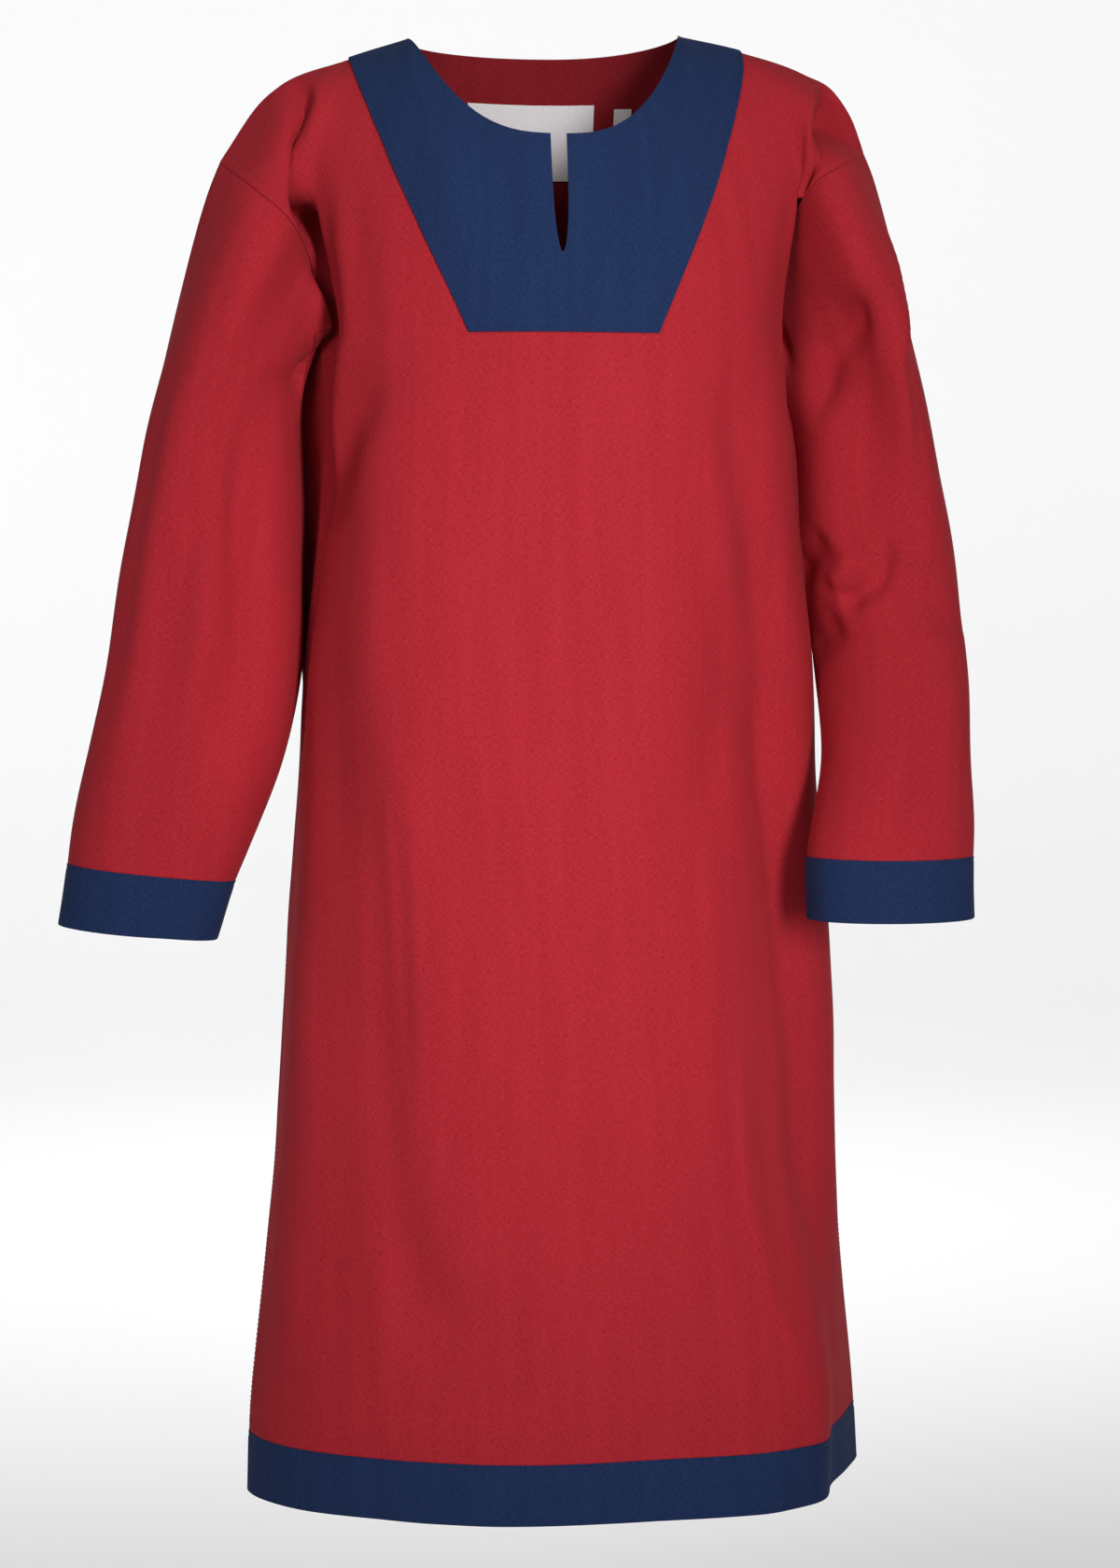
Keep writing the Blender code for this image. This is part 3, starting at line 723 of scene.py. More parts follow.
def feed(tree: bpy.types.NodeTree, node: bpy.types.Node, inputs: dict[str | int, object]) -> None:
    """Set or link the inputs of a shader node.

    Args:
        tree: node tree of the material.
        node: node that takes the inputs.
        inputs: a value, or the output that feeds it, for each input.
    """
    for name, value in inputs.items():
        if isinstance(value, bpy.types.NodeSocket):
            tree.links.new(value, node.inputs[name])
        else:
            node.inputs[name].default_value = value


def add_node(
    tree: bpy.types.NodeTree, kind: str, inputs: dict[str | int, object], **settings: str
) -> bpy.types.Node:
    """Add a shader node to a material.

    Args:
        tree: node tree of the material.
        kind: type of the node.
        inputs: a value, or the output that feeds it, for each input.
        settings: properties of the node, which are set before its inputs.

    Returns:
        The node.
    """
    node = tree.nodes.new("ShaderNode" + kind)
    for name, value in settings.items():
        setattr(node, name, value)
    feed(tree, node, inputs)
    return node


@dataclass(frozen=True)
class Finish:
    """Look of a piece, as a node material that is made once."""

    name: str

    def material(self) -> bpy.types.Material:
        """The finish as a material.

        Returns:
            The material, new or found.
        """
        found = bpy.data.materials.get(self.name)
        if found:
            return found
        material = bpy.data.materials.new(self.name)
        material.use_nodes = True
        self.paint(material.node_tree, material.node_tree.nodes["Principled BSDF"])
        return material

    def paint(self, tree: bpy.types.NodeTree, shader: bpy.types.Node) -> None:
        """Set up the nodes that feed the shader."""
        raise NotImplementedError


@dataclass(frozen=True)
class PlainFinish(Finish):
    """One even colour."""

    colour: tuple[float, float, float]
    roughness: float

    def paint(self, tree: bpy.types.NodeTree, shader: bpy.types.Node) -> None:
        """Set the shader's colour and roughness."""
        feed(tree, shader, {"Base Color": (*self.colour, 1.0), "Roughness": self.roughness})


@dataclass(frozen=True)
class ClothFinish(Finish):
    """Matte plain-weave cotton with uneven threads, and painted shade that darkens its inner faces.

    thread, slub and dye are cells of noise to a metre: across and along a thread, and across and
    down the streaks of dye.
    """

    dark: tuple[float, float, float]
    light: tuple[float, float, float]
    sheen: tuple[float, float, float]
    sheen_weight: float = 0.03
    sheen_roughness: float = 0.5
    roughness: float = 0.92
    specular: float = 0.15
    thread: float = 1500.0
    slub: float = 300.0
    thread_detail: float = 2.0
    dye: tuple[float, float] = (75.0, 6.0)
    dye_detail: float = 3.0
    dye_share: float = 0.30
    noise_roughness: float = 0.6
    shade_range: tuple[float, float] = (0.78, 1.52)
    bump: float = 0.00035
    bump_strength: float = 0.5
    # share by which the inner faces are darkened, as painted shade for the shade inside the garment
    inside_painted_shade: float = 0.45

    def paint(self, tree: bpy.types.NodeTree, shader: bpy.types.Node) -> None:
        """Weave the threads and the streaks of dye, and paint shade on the inner faces.

        Args:
            tree: node tree of the material.
            shader: shader that the nodes feed.
        """
        spot = add_node(tree, "UVMap", {}, uv_map=FLAT_MAP).outputs["UV"]
        warp = self.noise(tree, spot, (self.thread, self.slub), self.thread_detail)
        weft = self.noise(tree, spot, (self.slub, self.thread), self.thread_detail)
        dye = self.noise(tree, spot, self.dye, self.dye_detail)
        weave = add_node(tree, "Math", {0: warp, 1: weft}, operation="ADD").outputs[0]
        dyed = add_node(tree, "Math", {0: dye, 1: self.dye_share, 2: weave}, operation="MULTIPLY_ADD")
        low, high = self.shade_range
        spread = add_node(tree, "MapRange", {"From Min": low, "From Max": high, "Value": dyed.outputs[0]})
        shades = {"A": (*self.dark, 1.0), "B": (*self.light, 1.0), "Factor": spread.outputs["Result"]}
        colour = add_node(tree, "Mix", shades, data_type="RGBA")
        # painted shade: the colour of the inner faces is mixed towards black
        inside = add_node(tree, "Attribute", {}, attribute_name=PAINTED_SHADE_MASK)
        painted_shade_share = add_node(tree, "Math", {0: inside.outputs["Fac"], 1: self.inside_painted_shade}, operation="MULTIPLY")
        shades = {"A": colour.outputs["Result"], "B": PAINTED_SHADE_BLACK, "Factor": painted_shade_share.outputs[0]}
        shaded = add_node(tree, "Mix", shades, data_type="RGBA")
        height = {"Strength": self.bump_strength, "Distance": self.bump, "Height": weave}
        relief = add_node(tree, "Bump", height)
        feed(tree, shader, {
            "Base Color": shaded.outputs["Result"],
            "Normal": relief.outputs["Normal"],
            "Roughness": self.roughness,
            "Specular IOR Level": self.specular,
            "Sheen Weight": self.sheen_weight,
            "Sheen Roughness": self.sheen_roughness,
            "Sheen Tint": (*self.sheen, 1.0),
        })

    def noise(
        self, tree: bpy.types.NodeTree, spot: bpy.types.NodeSocket, scale: tuple[float, float], detail: float
    ) -> bpy.types.NodeSocket:
        """Noise stretched along the threads.

        Args:
            tree: node tree of the material.
            spot: output that gives flat cloth coordinates.
            scale: cells to a metre across and down.
            detail: octaves of the noise.

        Returns:
            The output that gives the noise.
        """
        stretch = add_node(tree, "Mapping", {"Scale": (*scale, 1.0), "Vector": spot})
        inputs = {"Scale": 1.0, "Detail": detail, "Roughness": self.noise_roughness}
        inputs["Vector"] = stretch.outputs["Vector"]
        return add_node(tree, "TexNoise", inputs, noise_dimensions="2D").outputs["Fac"]


@dataclass(frozen=True)
class ThreadFinish(Finish):
    """Sewing thread with a little gloss and fine twist."""

    colour: tuple[float, float, float]
    dark_share: float = 0.6
    twist: float = 900.0
    roughness: float = 0.6
    specular: float = 0.35

    def paint(self, tree: bpy.types.NodeTree, shader: bpy.types.Node) -> None:
        """Shade the thread by its twist.

        Args:
            tree: node tree of the material.
            shader: shader that the nodes feed.
        """
        spot = add_node(tree, "TexCoord", {}).outputs["Object"]
        twist = add_node(tree, "TexNoise", {"Scale": self.twist, "Vector": spot}).outputs["Fac"]
        dark = tuple(self.dark_share * value for value in self.colour)
        shades = {"A": (*dark, 1.0), "B": (*self.colour, 1.0), "Factor": twist}
        colour = add_node(tree, "Mix", shades, data_type="RGBA").outputs["Result"]
        feed(tree, shader, {
            "Base Color": colour, "Roughness": self.roughness, "Specular IOR Level": self.specular
        })


RED_CLOTH = ClothFinish("red_cotton", (0.300, 0.0105, 0.0180), (0.470, 0.0240, 0.0360), (0.9, 0.45, 0.45))
BLUE_CLOTH = ClothFinish("blue_cotton", (0.0062, 0.0162, 0.0600), (0.0165, 0.0365, 0.1120), (0.5, 0.6, 0.9))
WHITE_TAPE = ClothFinish(
    "white_tape", (0.70, 0.66, 0.67), (0.86, 0.82, 0.83), (1.0, 1.0, 1.0), thread=2600.0, slub=400.0
)
FINISHES = {Slot.RED: RED_CLOTH, Slot.BLUE: BLUE_CLOTH, Slot.WHITE: WHITE_TAPE}
THREADS = {
    Slot.RED: ThreadFinish("red_thread", (0.36, 0.014, 0.022)),
    Slot.BLUE: ThreadFinish("blue_thread", (0.014, 0.034, 0.105)),
}


@dataclass
class ClothPiece:
    """One cut piece of cloth that replaces a solid of the frame."""

    node: str
    slot: Slot
    flat_size: tuple[float, float]
    flat_area: float
    thickness: float = 0.0011
    hold: Hold = Hold.HUNG
    rests_on: tuple[str, ...] = ()

    def dress(self, piece: bpy.types.Object) -> None:
        """Give a piece its finish and its place in the frame.

        Args:
            piece: the piece's object.
        """
        piece.data.materials.append(FINISHES[self.slot].material())
        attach(piece, BODY)
        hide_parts(self.node)
        LOG.info("%s: %d faces", piece.name, len(piece.data.polygons))

    def wall(
        self, surface: Surface, edges: Array, flip: bool, closed: bool = False, keep: Array | None = None
    ) -> None:
        """Make a closed wall on a surface, rounded at its edges, and dress it.

        Args:
            surface: outer surface of the piece.
            edges: share of the thickness at each point, below 1 near an edge.
            flip: whether the columns run leftwards seen from outside.
            closed: whether the last column joins the first.
            keep: which cells to keep, or None for all.
        """
        middle = surface.points - surface.normals * self.thickness / 2
        half = surface.normals * (self.thickness / 2 * edges)[..., None]
        outer, inner, flat = middle + half, middle - half, surface.flat()
        if closed:
            step = np.linalg.norm(outer[:, :1] - outer[:, -1:], axis=-1)
            last = flat[:, -1:] + np.stack([step, 0 * step], axis=-1)
            flat = np.concatenate([flat, last], axis=1)
        if flip:
            outer, inner = outer[:, ::-1], inner[:, ::-1]
            flat = flat[:, ::-1]
            keep = None if keep is None else keep[:, ::-1]
        self.dress(cloth_mesh(self.node + "_sheet", outer, inner, flat, closed, keep))


@dataclass
class Panel(ClothPiece):
    """Front or back of the body, from the neck and shoulders to the hem band."""

    form: TunicForm = field(default_factory=TunicForm)
    facing: Facing = Facing.FRONT
    folds: Table = ()
    creases: tuple[Crease, ...] = ()
    rumple: Rumple = Rumple(1)
    step: float = 0.0035
    step_growth: float = 1.15
    upper: float = 0.20
    half_arc: float = 0.24
    seam_ridge: float = 0.0003
    seam_width: float = 0.0065
    seam_slope: float = 0.003
    seam_hold: float = 0.010
    # part of the way down the armhole where its ridge starts to fade, and the part that fading takes
    ridge_fade: tuple[float, float] = (0.30, 0.2)
    # place where normals start to turn sideways, the places that turning takes, and its depth below the chest
    side_turn: tuple[float, float, float] = (0.97, 0.03, 0.05)
    fold_fade: float = 0.30
    crease_fade: float = 0.06

    def rows(self) -> tuple[Array, Array]:
        """Rows of the panel.

        Returns:
            Parts of the rows above the chest, and levels of the rows below it.
        """
        form = self.form
        length = form.length - form.hem_band - form.chest
        downs = form.chest + length * spaced(length, self.step * self.step_growth, False, True)[1:]
        return spaced(self.upper, self.step, True, False), downs

    def from_side(self, places: Array) -> Array:
        """Distance of places from the nearer side seam, in metres."""
        return (1 - np.abs(places)) * self.half_arc

    def surface(self, places: Array, parts: Array, downs: Array) -> Surface:
        """Creased surface of the panel.

        Args:
            places: from -1 to 1, a row for each part and then for each level.
            parts: rows above the chest, from 0 at the top edge to 1 at the chest.
            downs: levels of the rows below the chest.

        Returns:
            The surface, whose levels are the parts, then 1 plus the way below the chest.
        """
        count = len(parts)
        pieces = []
        if count:
            rows = np.broadcast_to(parts[:, None], places[:count].shape)
            pieces.append(self.form.rounded_upper(places[:count], rows, self.facing))
        if len(downs):
            pieces.append(self.form.lower_points(places[count:], downs[:, None], self.facing))
        grid = np.concatenate(pieces)
        normal = self.seam_normals(grid, places)
        grid = grid - normal * self.relief(places, -grid[..., 2], parts)[..., None]
        levels = np.concatenate([parts, 1 + downs - self.form.chest])
        return Surface(levels, places, grid, self.seam_normals(grid, places))

    def seam_normals(self, grid: Array, places: Array) -> Array:
        """Normals of the panel, turned straight sideways along the side seams.

        Args:
            grid: points of the panel.
            places: place of each point.

        Returns:
            Outward unit normals.
        """
        way = slice(None, None, -self.facing.value)
        normal = outward(grid[:, way])[:, way]
        start, share, drop = self.side_turn
        below = ease((-grid[..., 2] - self.form.chest) / drop)
        near = ease((np.abs(places) - start) / share) * below
        sideways = np.zeros_like(normal)
        sideways[..., 0] = np.sign(places)
        return unit(normal * (1 - near)[..., None] + sideways * near[..., None])

    def relief(self, places: Array, down: Array, parts: Array) -> Array:
        """How far folds, creases and seams draw the cloth in.

        Args:
            places: place of each point.
            down: level of each point.
            parts: rows above the chest.

        Returns:
            Depth of each point in metres.
        """
        from_side = self.from_side(places)
        loose = ease(from_side / self.seam_hold)
        fine = self.rumple.depth_at(places * self.half_arc, down)
        for crease in self.creases:
            fine = fine + crease.depth_at(places, down, self.half_arc)
        soft = on_first(len(places), ease(parts / self.fold_fade), 1.0)
        sharp = on_first(len(places), ease(parts / self.crease_fade), 1.0)
        broad = fold_depth(self.folds, places, down)
        depth = broad * soft[:, None] + fine * loose * sharp[:, None]
        ridge = ease((self.seam_width - from_side) / self.seam_slope)
        start, length = self.ridge_fade
        by_armhole = on_first(len(places), 1 - ease((parts - start) / length), 0.0)
        return depth - self.seam_ridge * ridge * by_armhole[:, None]

    def edge_shares(self, surface: Surface, parts: Array, from_slit: Array | float = FAR) -> Array:
        """Share of the thickness at each point, lower at open edges and seams.

        Args:
            surface: the panel's surface.
            parts: rows above the chest.
            from_slit: distance of each point from a slit.

        Returns:
            Shares, shaped as the surface.
        """
        from_top = on_first(len(surface.levels), parts * self.upper, FAR)
        from_low = surface.levels[-1] - surface.levels
        nearest = np.minimum(np.minimum(from_top, from_low)[:, None], from_slit)
        return np.minimum(rim(nearest, EDGE_RIM), rim(self.from_side(surface.across), SEAM_RIM, SEAM_LEAST))


@dataclass
class FrontPanel(Panel):
    """Front of the body, slit below the neck."""

    tip_half: float = 0.0004
    nudge: float = 0.01

    def slit_places(self, parts: Array, downs: Array, widest: Array, extra: float) -> Array:
        """Columns that leave room for the slit.

        Args:
            parts: rows above the chest.
            downs: levels of the rows below it.
            widest: outermost place of each row.
            extra: how far the edge stands back from the slit, in metres.

        Returns:
            Places, with three columns at the middle for the slit and its two edges.
        """
        rows = len(parts) + len(downs)
        share = spaced(self.half_arc * float(widest.mean()), self.step, True, True)
        half = np.full(rows, self.tip_half / self.half_arc)
        beside = np.array([[0.0, self.nudge]])
        for row, part in enumerate(parts):
            pair = self.form.upper_points(beside, np.full((1, 2), part), self.facing)[0]
            metres = np.linalg.norm(pair[1] - pair[0]) / self.nudge
            wide = self.form.slit_half(-pair[0, 2]) + extra
            half[row] = (wide if self.above_tip(-pair[0, 2], extra) else self.tip_half) / metres
        side = half[:, None] + share * (widest - half)[:, None]
        return np.concatenate([-side[:, ::-1], np.zeros((rows, 1)), side], axis=1)

    def above_tip(self, down: Array, extra: float) -> Array:
        """Whether a level lies above the slit's tip."""
        return down < self.form.neck_front_drop + self.form.slit_length + extra

    def slit_cells(self, surface: Surface, rows: int, extra: float) -> Array:
        """Cells that leave the slit open down to its tip.

        Args:
            surface: surface with columns that leave room for the slit.
            rows: number of rows above the chest.
            extra: how far the edge stands back from the slit, in metres.

        Returns:
            Whether each cell is kept.
        """
        middle = surface.points.shape[1] // 2
        keep = np.ones((len(surface.points) - 1, surface.points.shape[1] - 1), bool)
        open_rows = self.above_tip(-surface.points[1:, middle, 2], extra)
        open_rows[rows:] = False
        keep[open_rows, middle - 1 : middle + 1] = False
        return keep

    def from_slit(self, surface: Surface, extra: float, spread: float = 1.0) -> Array:
        """Distance of each point from the slit's edge.

        Args:
            surface: surface with columns that leave room for the slit.
            extra: how far its edge stands back from the slit, in metres.
            spread: factor on the distances.

        Returns:
            Distances in metres, far ones below the slit's tip.
        """
        places = surface.across
        middle = places.shape[1] // 2
        away = np.abs(np.abs(places) - places[:, middle + 1 : middle + 2]) * self.half_arc * spread
        return np.where(self.above_tip(-surface.points[..., 2], extra), away, FAR)

    def build(self) -> Surface:
        """Make the panel.

        Returns:
            Its surface.
        """
        parts, downs = self.rows()
        places = self.slit_places(parts, downs, np.ones(len(parts) + len(downs)), 0.0)
        surface = self.surface(places, parts, downs)
        edges = self.edge_shares(surface, parts, self.from_slit(surface, 0.0))
        self.wall(surface, edges, False, keep=self.slit_cells(surface, len(parts), 0.0))
        return surface


@dataclass
class BackPanel(Panel):
    """Back of the body."""

    facing: Facing = Facing.BACK
    step: float = 0.0038
    upper: float = 0.22

    def build(self) -> Surface:
        """Make the panel.

        Returns:
            Its surface.
        """
        parts, downs = self.rows()
        row = mirrored(spaced(self.half_arc, self.step, False, True))
        surface = self.surface(np.tile(row, (len(parts) + len(downs), 1)), parts, downs)
        self.wall(surface, self.edge_shares(surface, parts), True)
        return surface


@dataclass
class Yoke(ClothPiece):
    """Tapered piece laid on the front, round the neck and its slit.

    stand_back is how far its edge lies behind the front's cut edge. Below 0, it reaches past that edge.
    """

    hold: Hold = Hold.LAID
    step: float = 0.0028
    lift: float = 0.0005
    stand_back: float = -0.0005
    stitch_inset: float = 0.0030
    stitch_width: float = 0.0013
    stitch_pull: float = 0.0004
    slit_spread: float = 1.4
    edge_rim: float = 0.0012

    def build(self, front: FrontPanel) -> Surface:
        """Make the yoke.

        Args:
            front: panel that it lies on.

        Returns:
            Its surface.
        """
        first = self.stand_back / front.upper
        parts = first + (1 - first) * spaced(front.upper, self.step, True, True)
        widest = front.form.yoke_edge(np.maximum(parts, 0))
        places = front.slit_places(parts, np.empty(0), widest, self.stand_back)
        surface = front.surface(places, parts, np.empty(0))
        from_edge = (widest[:, None] - np.abs(places)) * front.half_arc
        from_ends = np.minimum(1 - parts, parts - first)[:, None] * front.upper
        from_slit = front.from_slit(surface, self.stand_back, self.slit_spread)
        nearest = np.minimum(np.minimum(from_edge, from_ends), from_slit)
        pulled = groove(nearest - self.stitch_inset, self.stitch_width) * self.stitch_pull
        rise = self.lift + self.thickness - pulled
        surface.points = surface.points + surface.normals * rise[..., None]
        keep = front.slit_cells(surface, len(parts), self.stand_back)
        self.wall(surface, rim(nearest, self.edge_rim), False, keep=keep)
        return surface


@dataclass
class Sleeve(ClothPiece):
    """Sleeve from the armhole seam down to the cuff seam."""

    form: TunicForm = field(default_factory=TunicForm)
    side: Side = Side.RIGHT
    folds: Table = ()
    creases: tuple[Crease, ...] = ()
    rumple: Rumple = Rumple(3)
    columns: int = 132
    step: float = 0.0034
    upper: float = 0.20
    radius: float = 0.06
    seam_sink: float = 0.0002
    seam_width: float = 0.004
    crease_fade: float = 0.12
    degree: float = 0.00104

    def angles(self) -> Array:
        """Angles round the arm, from the hidden underarm seam all the way round."""
        return math.pi + np.linspace(0, 2 * math.pi, self.columns, endpoint=False)

    def surface(self, cap_parts: Array, downs: Array) -> Surface:
        """Creased surface of a stretch of the arm.

        Args:
            cap_parts: rows of the upper sleeve, from 0 at the armhole to 1.
            downs: levels of the rows below it.

        Returns:
            The surface, whose levels are the parts, then 1 plus the way below the upper sleeve.
        """
        angles = self.angles()
        pieces = []
        if len(cap_parts):
            pieces.append(self.form.cap_points(self.side, angles, cap_parts))
        if len(downs):
            pieces.append(self.form.arm_ring(self.side, downs, angles))
        grid = np.concatenate(pieces)
        turned = np.degrees(angles) % 360
        across = np.broadcast_to(turned, grid.shape[:2])
        grid = grid - self.around(grid) * self.relief(across, -grid[..., 2], cap_parts)[..., None]
        first = self.form.arm(self.side)[0][0]
        levels = np.concatenate([cap_parts, 1 + downs - first])
        return Surface(levels, np.broadcast_to(np.degrees(angles), grid.shape[:2]), grid, self.around(grid))

    def relief(self, angle: Array, down: Array, cap_parts: Array) -> Array:
        """How far folds, creases and the seam draw the cloth in.

        Args:
            angle: angle of each point in degrees.
            down: level of each point.
            cap_parts: rows of the upper sleeve.

        Returns:
            Depth of each point in metres.
        """
        turned = np.radians(angle)
        fine = self.rumple.depth_at(self.radius * np.cos(turned) + self.radius * np.sin(turned), down)
        for crease in self.creases:
            fine = fine + crease.depth_at(angle, down, self.degree)
        top = on_first(len(angle), ease(cap_parts / self.crease_fade), 1.0)
        sunk = on_first(len(angle), groove(cap_parts * self.upper, self.seam_width), 0.0)
        depth = (fold_depth(self.folds, angle, down) + fine) * top[:, None]
        return depth + self.seam_sink * sunk[:, None]

    def around(self, grid: Array) -> Array:
        """Outward normals of a tube whose columns join up."""
        joined = np.concatenate([grid[:, -1:], grid, grid[:, :1]], axis=1)
        return outward(joined)[:, 1:-1] * -self.side.value

    def build(self) -> None:
        """Make the sleeve."""
        top = self.form.arm(self.side)[0][0]
        length = self.form.cuff(self.side)[0] - top
        cap_parts = spaced(self.upper, self.step, True, False)
        downs = top + length * spaced(length, self.step, False, True)[1:]
        surface = self.surface(cap_parts, downs)
        from_top = on_first(len(surface.levels), cap_parts * self.upper, FAR)
        from_end = surface.levels[-1] - surface.levels
        shares = np.minimum(rim(from_top, SEAM_RIM, SEAM_LEAST), rim(from_end, EDGE_RIM))
        edges = np.broadcast_to(shares[:, None], surface.points.shape[:2])
        self.wall(surface, edges, self.side is Side.LEFT, closed=True)


@dataclass
class Band(ClothPiece):
    """Double band that stands a little proud and is drawn in along its stitches."""

    thickness: float = 0.0017
    proud: float = 0.0005
    stitch_inset: float = 0.0028
    stitch_width: float = 0.0014
    stitch_pull: float = 0.0005

    def swell(self, surface: Surface, from_top: Array) -> None:
        """Set a surface proud of the cloth, apart from its row of stitches.

        Args:
            surface: surface of the band.
            from_top: distance of each row from the band's top, its new level.
        """
        pulled = groove(from_top - self.stitch_inset, self.stitch_width) * self.stitch_pull
        surface.points = surface.points + surface.normals * (self.proud - pulled)[:, None, None]
        surface.levels = from_top


@dataclass
class Cuff(Band):
    """Band at the end of a sleeve."""

    step: float = 0.0022

    def build(self, sleeve: Sleeve) -> Surface:
        """Make the cuff.

        Args:
            sleeve: sleeve whose form it takes.

        Returns:
            Its surface.
        """
        top, end = sleeve.form.cuff(sleeve.side)
        length = end - top
        downs = top + length * spaced(length, self.step, True, True)
        surface = sleeve.surface(np.empty(0), downs)
        self.swell(surface, downs - top)
        nearest = np.minimum(downs - top, end - downs)
        edges = np.broadcast_to(rim(nearest, EDGE_RIM)[:, None], surface.points.shape[:2])
        self.wall(surface, edges, sleeve.side is Side.LEFT, closed=True)
        return surface


@dataclass
class HemBand(Band):
    """Band along the lower edge of a panel."""

    step: float = 0.0026
    step_across: float = 0.0030

    def build(self, panel: Panel) -> Surface:
        """Make the band.

        Args:
            panel: panel whose form it takes.

        Returns:
            Its surface.
        """
        form = panel.form
        top, length = form.length - form.hem_band, form.hem_band
        downs = top + length * spaced(length, self.step, True, True)
        row = mirrored(spaced(panel.half_arc, self.step_across, False, True))
        surface = panel.surface(np.tile(row, (len(downs), 1)), np.empty(0), downs)
        self.swell(surface, downs - top)
        from_ends = np.minimum(downs - top, form.length - downs)
        nearest = np.minimum(panel.from_side(surface.across), from_ends[:, None])
        self.wall(surface, rim(nearest, EDGE_RIM), panel.facing is Facing.BACK)
        return surface


@dataclass
class InsideLabel(ClothPiece):
    """Bare woven tape sewn inside the back, below the neck.

    The tape follows the back's cloth, which is sampled as far as sample_reach times the neck's width.
    """

    thickness: float = 0.0005
    hold: Hold = Hold.LAID
    left: float = -0.049
    right: float = 0.049
    top: float = 0.036
    low: float = 0.092
    step: float = 0.003
    lift: float = 0.0026
    curl: float = 0.0012
    curl_base: float = 0.4
    curl_wave: float = 0.6
    curl_turns: float = 1.3
    curl_phase: float = 0.2
    edge_rim: float = 0.0008
    sample_columns: int = 161
    sample_rows: int = 81
    sample_reach: float = 1.4

    def build(self, back: BackPanel) -> None:
        """Make the label.

        Args:
            back: panel that it lies inside.
        """
        width, height = self.right - self.left, self.low - self.top
        across = self.left + width * spaced(width, self.step, True, True)
        downs = self.top + height * spaced(height, self.step, True, True)
        dense = np.linspace(-1, 1, self.sample_columns) * self.sample_reach * back.form.neck_share
        parts = np.linspace(0, 1, self.sample_rows)
        cloth = back.surface(np.tile(dense, (len(parts), 1)), parts, np.empty(0)).points
        grid = np.empty((len(downs), len(across), 3))
        for column, x in enumerate(across):
            depth = [np.interp(x, row[:, 0], row[:, 1]) for row in cloth]
            level = [np.interp(x, row[:, 0], -row[:, 2]) for row in cloth]
            grid[:, column, 0] = x
            grid[:, column, 1] = np.interp(downs, level, depth)
            grid[:, column, 2] = -downs
        inwards = outward(grid)
        share = ((downs - self.top) / height)[:, None]
        wave = np.cos(2 * math.pi * (self.curl_turns * ((across - self.left) / width) + self.curl_phase))
        curl = self.curl * share * (self.curl_base + wave * self.curl_wave)
        grid = grid + inwards * (self.lift + curl)[..., None]
        surface = Surface(downs - self.top, np.broadcast_to(across, grid.shape[:2]), grid, inwards)
        from_edge = np.minimum(across - self.left, self.right - across)
        from_end = np.minimum(downs - self.top, self.low - downs)
        self.wall(surface, rim(np.minimum(from_edge, from_end[:, None]), self.edge_rim), False)


@dataclass
class Stitching:
    """Rows of sewing stitches, each a small flattened grain of thread."""

    name: str
    slot: Slot
    length: float = 0.0026
    pitch: float = 0.0036
    radius: float = 0.00034
    sides: int = 6
    rings: int = 5
    sink: float = 0.35
    points: list[Array] = field(default_factory=list)
    faces: list[Array] = field(default_factory=list)

    def grain(self) -> tuple[Array, Array]:
        """Model one stitch along X, and take the model away again.

        Returns:
            Its points and its triangles.
        """
        bpy.ops.object.select_all(action="DESELECT")
        bpy.ops.mesh.primitive_uv_sphere_add(segments=self.sides, ring_count=self.rings, radius=1.0)
        model = bpy.context.object
        bpy.ops.object.mode_set(mode="EDIT")
        bpy.ops.mesh.select_all(action="SELECT")
        bpy.ops.transform.rotate(value=math.pi / 2, orient_axis="Y", center_override=(0, 0, 0))
        bpy.ops.transform.resize(value=(self.length / 2, self.radius, self.radius), center_override=(0, 0, 0))
        bpy.ops.mesh.quads_convert_to_tris()
        bpy.ops.mesh.normals_make_consistent(inside=False)
        bpy.ops.object.mode_set(mode="OBJECT")
        points = np.array([vertex.co[:] for vertex in model.data.vertices])
        faces = np.array([face.vertices[:] for face in model.data.polygons])
        mesh = model.data
        bpy.data.objects.remove(model)
        bpy.data.meshes.remove(mesh)
        return points, faces

    def sew(self, path: Array, normals: Array) -> None:
        """Sew one row of stitches.

        Args:
            path: points along the row.
            normals: outward normals at the points.
        """
        points, faces = self.grain()
        steps = np.linalg.norm(np.diff(path, axis=0), axis=-1)
        along = np.concatenate([[0], np.cumsum(steps)])
        centres = np.arange(self.pitch / 2, along[-1] - self.pitch / 2, self.pitch)
        if not len(centres):
            return

        def on_path(values: Array, at: Array) -> Array:
            """Values interpolated along the row."""
            return np.stack([np.interp(at, along, values[:, axis]) for axis in range(3)], axis=-1)

        ahead = unit(on_path(path, centres + self.length / 2) - on_path(path, centres - self.length / 2))
        up = on_path(normals, centres)
        across = unit(np.cross(up, ahead))
        up = np.cross(ahead, across)
        place = on_path(path, centres) + up * self.radius * (1 - 2 * self.sink)
        base = sum(len(chunk) for chunk in self.points)
        for middle, x, y, z in zip(place, ahead, across, up):
            self.points.append(middle + points[:, :1] * x + points[:, 1:2] * y + points[:, 2:] * z)
            self.faces.append(faces + base)
            base += len(points)

    def finish(self) -> None:
        """Join the stitches into one piece and dress it."""
        mesh = bpy.data.meshes.new(self.name)
        mesh.from_pydata(np.concatenate(self.points).tolist(), [], np.concatenate(self.faces).tolist())
        mesh.shade_smooth()
        mesh.materials.append(THREADS[self.slot].material())
        piece = bpy.data.objects.new(self.name, mesh)
        bpy.context.scene.collection.objects.link(piece)
        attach(piece, BODY)
        LOG.info("%s: %d stitches", self.name, len(self.points))


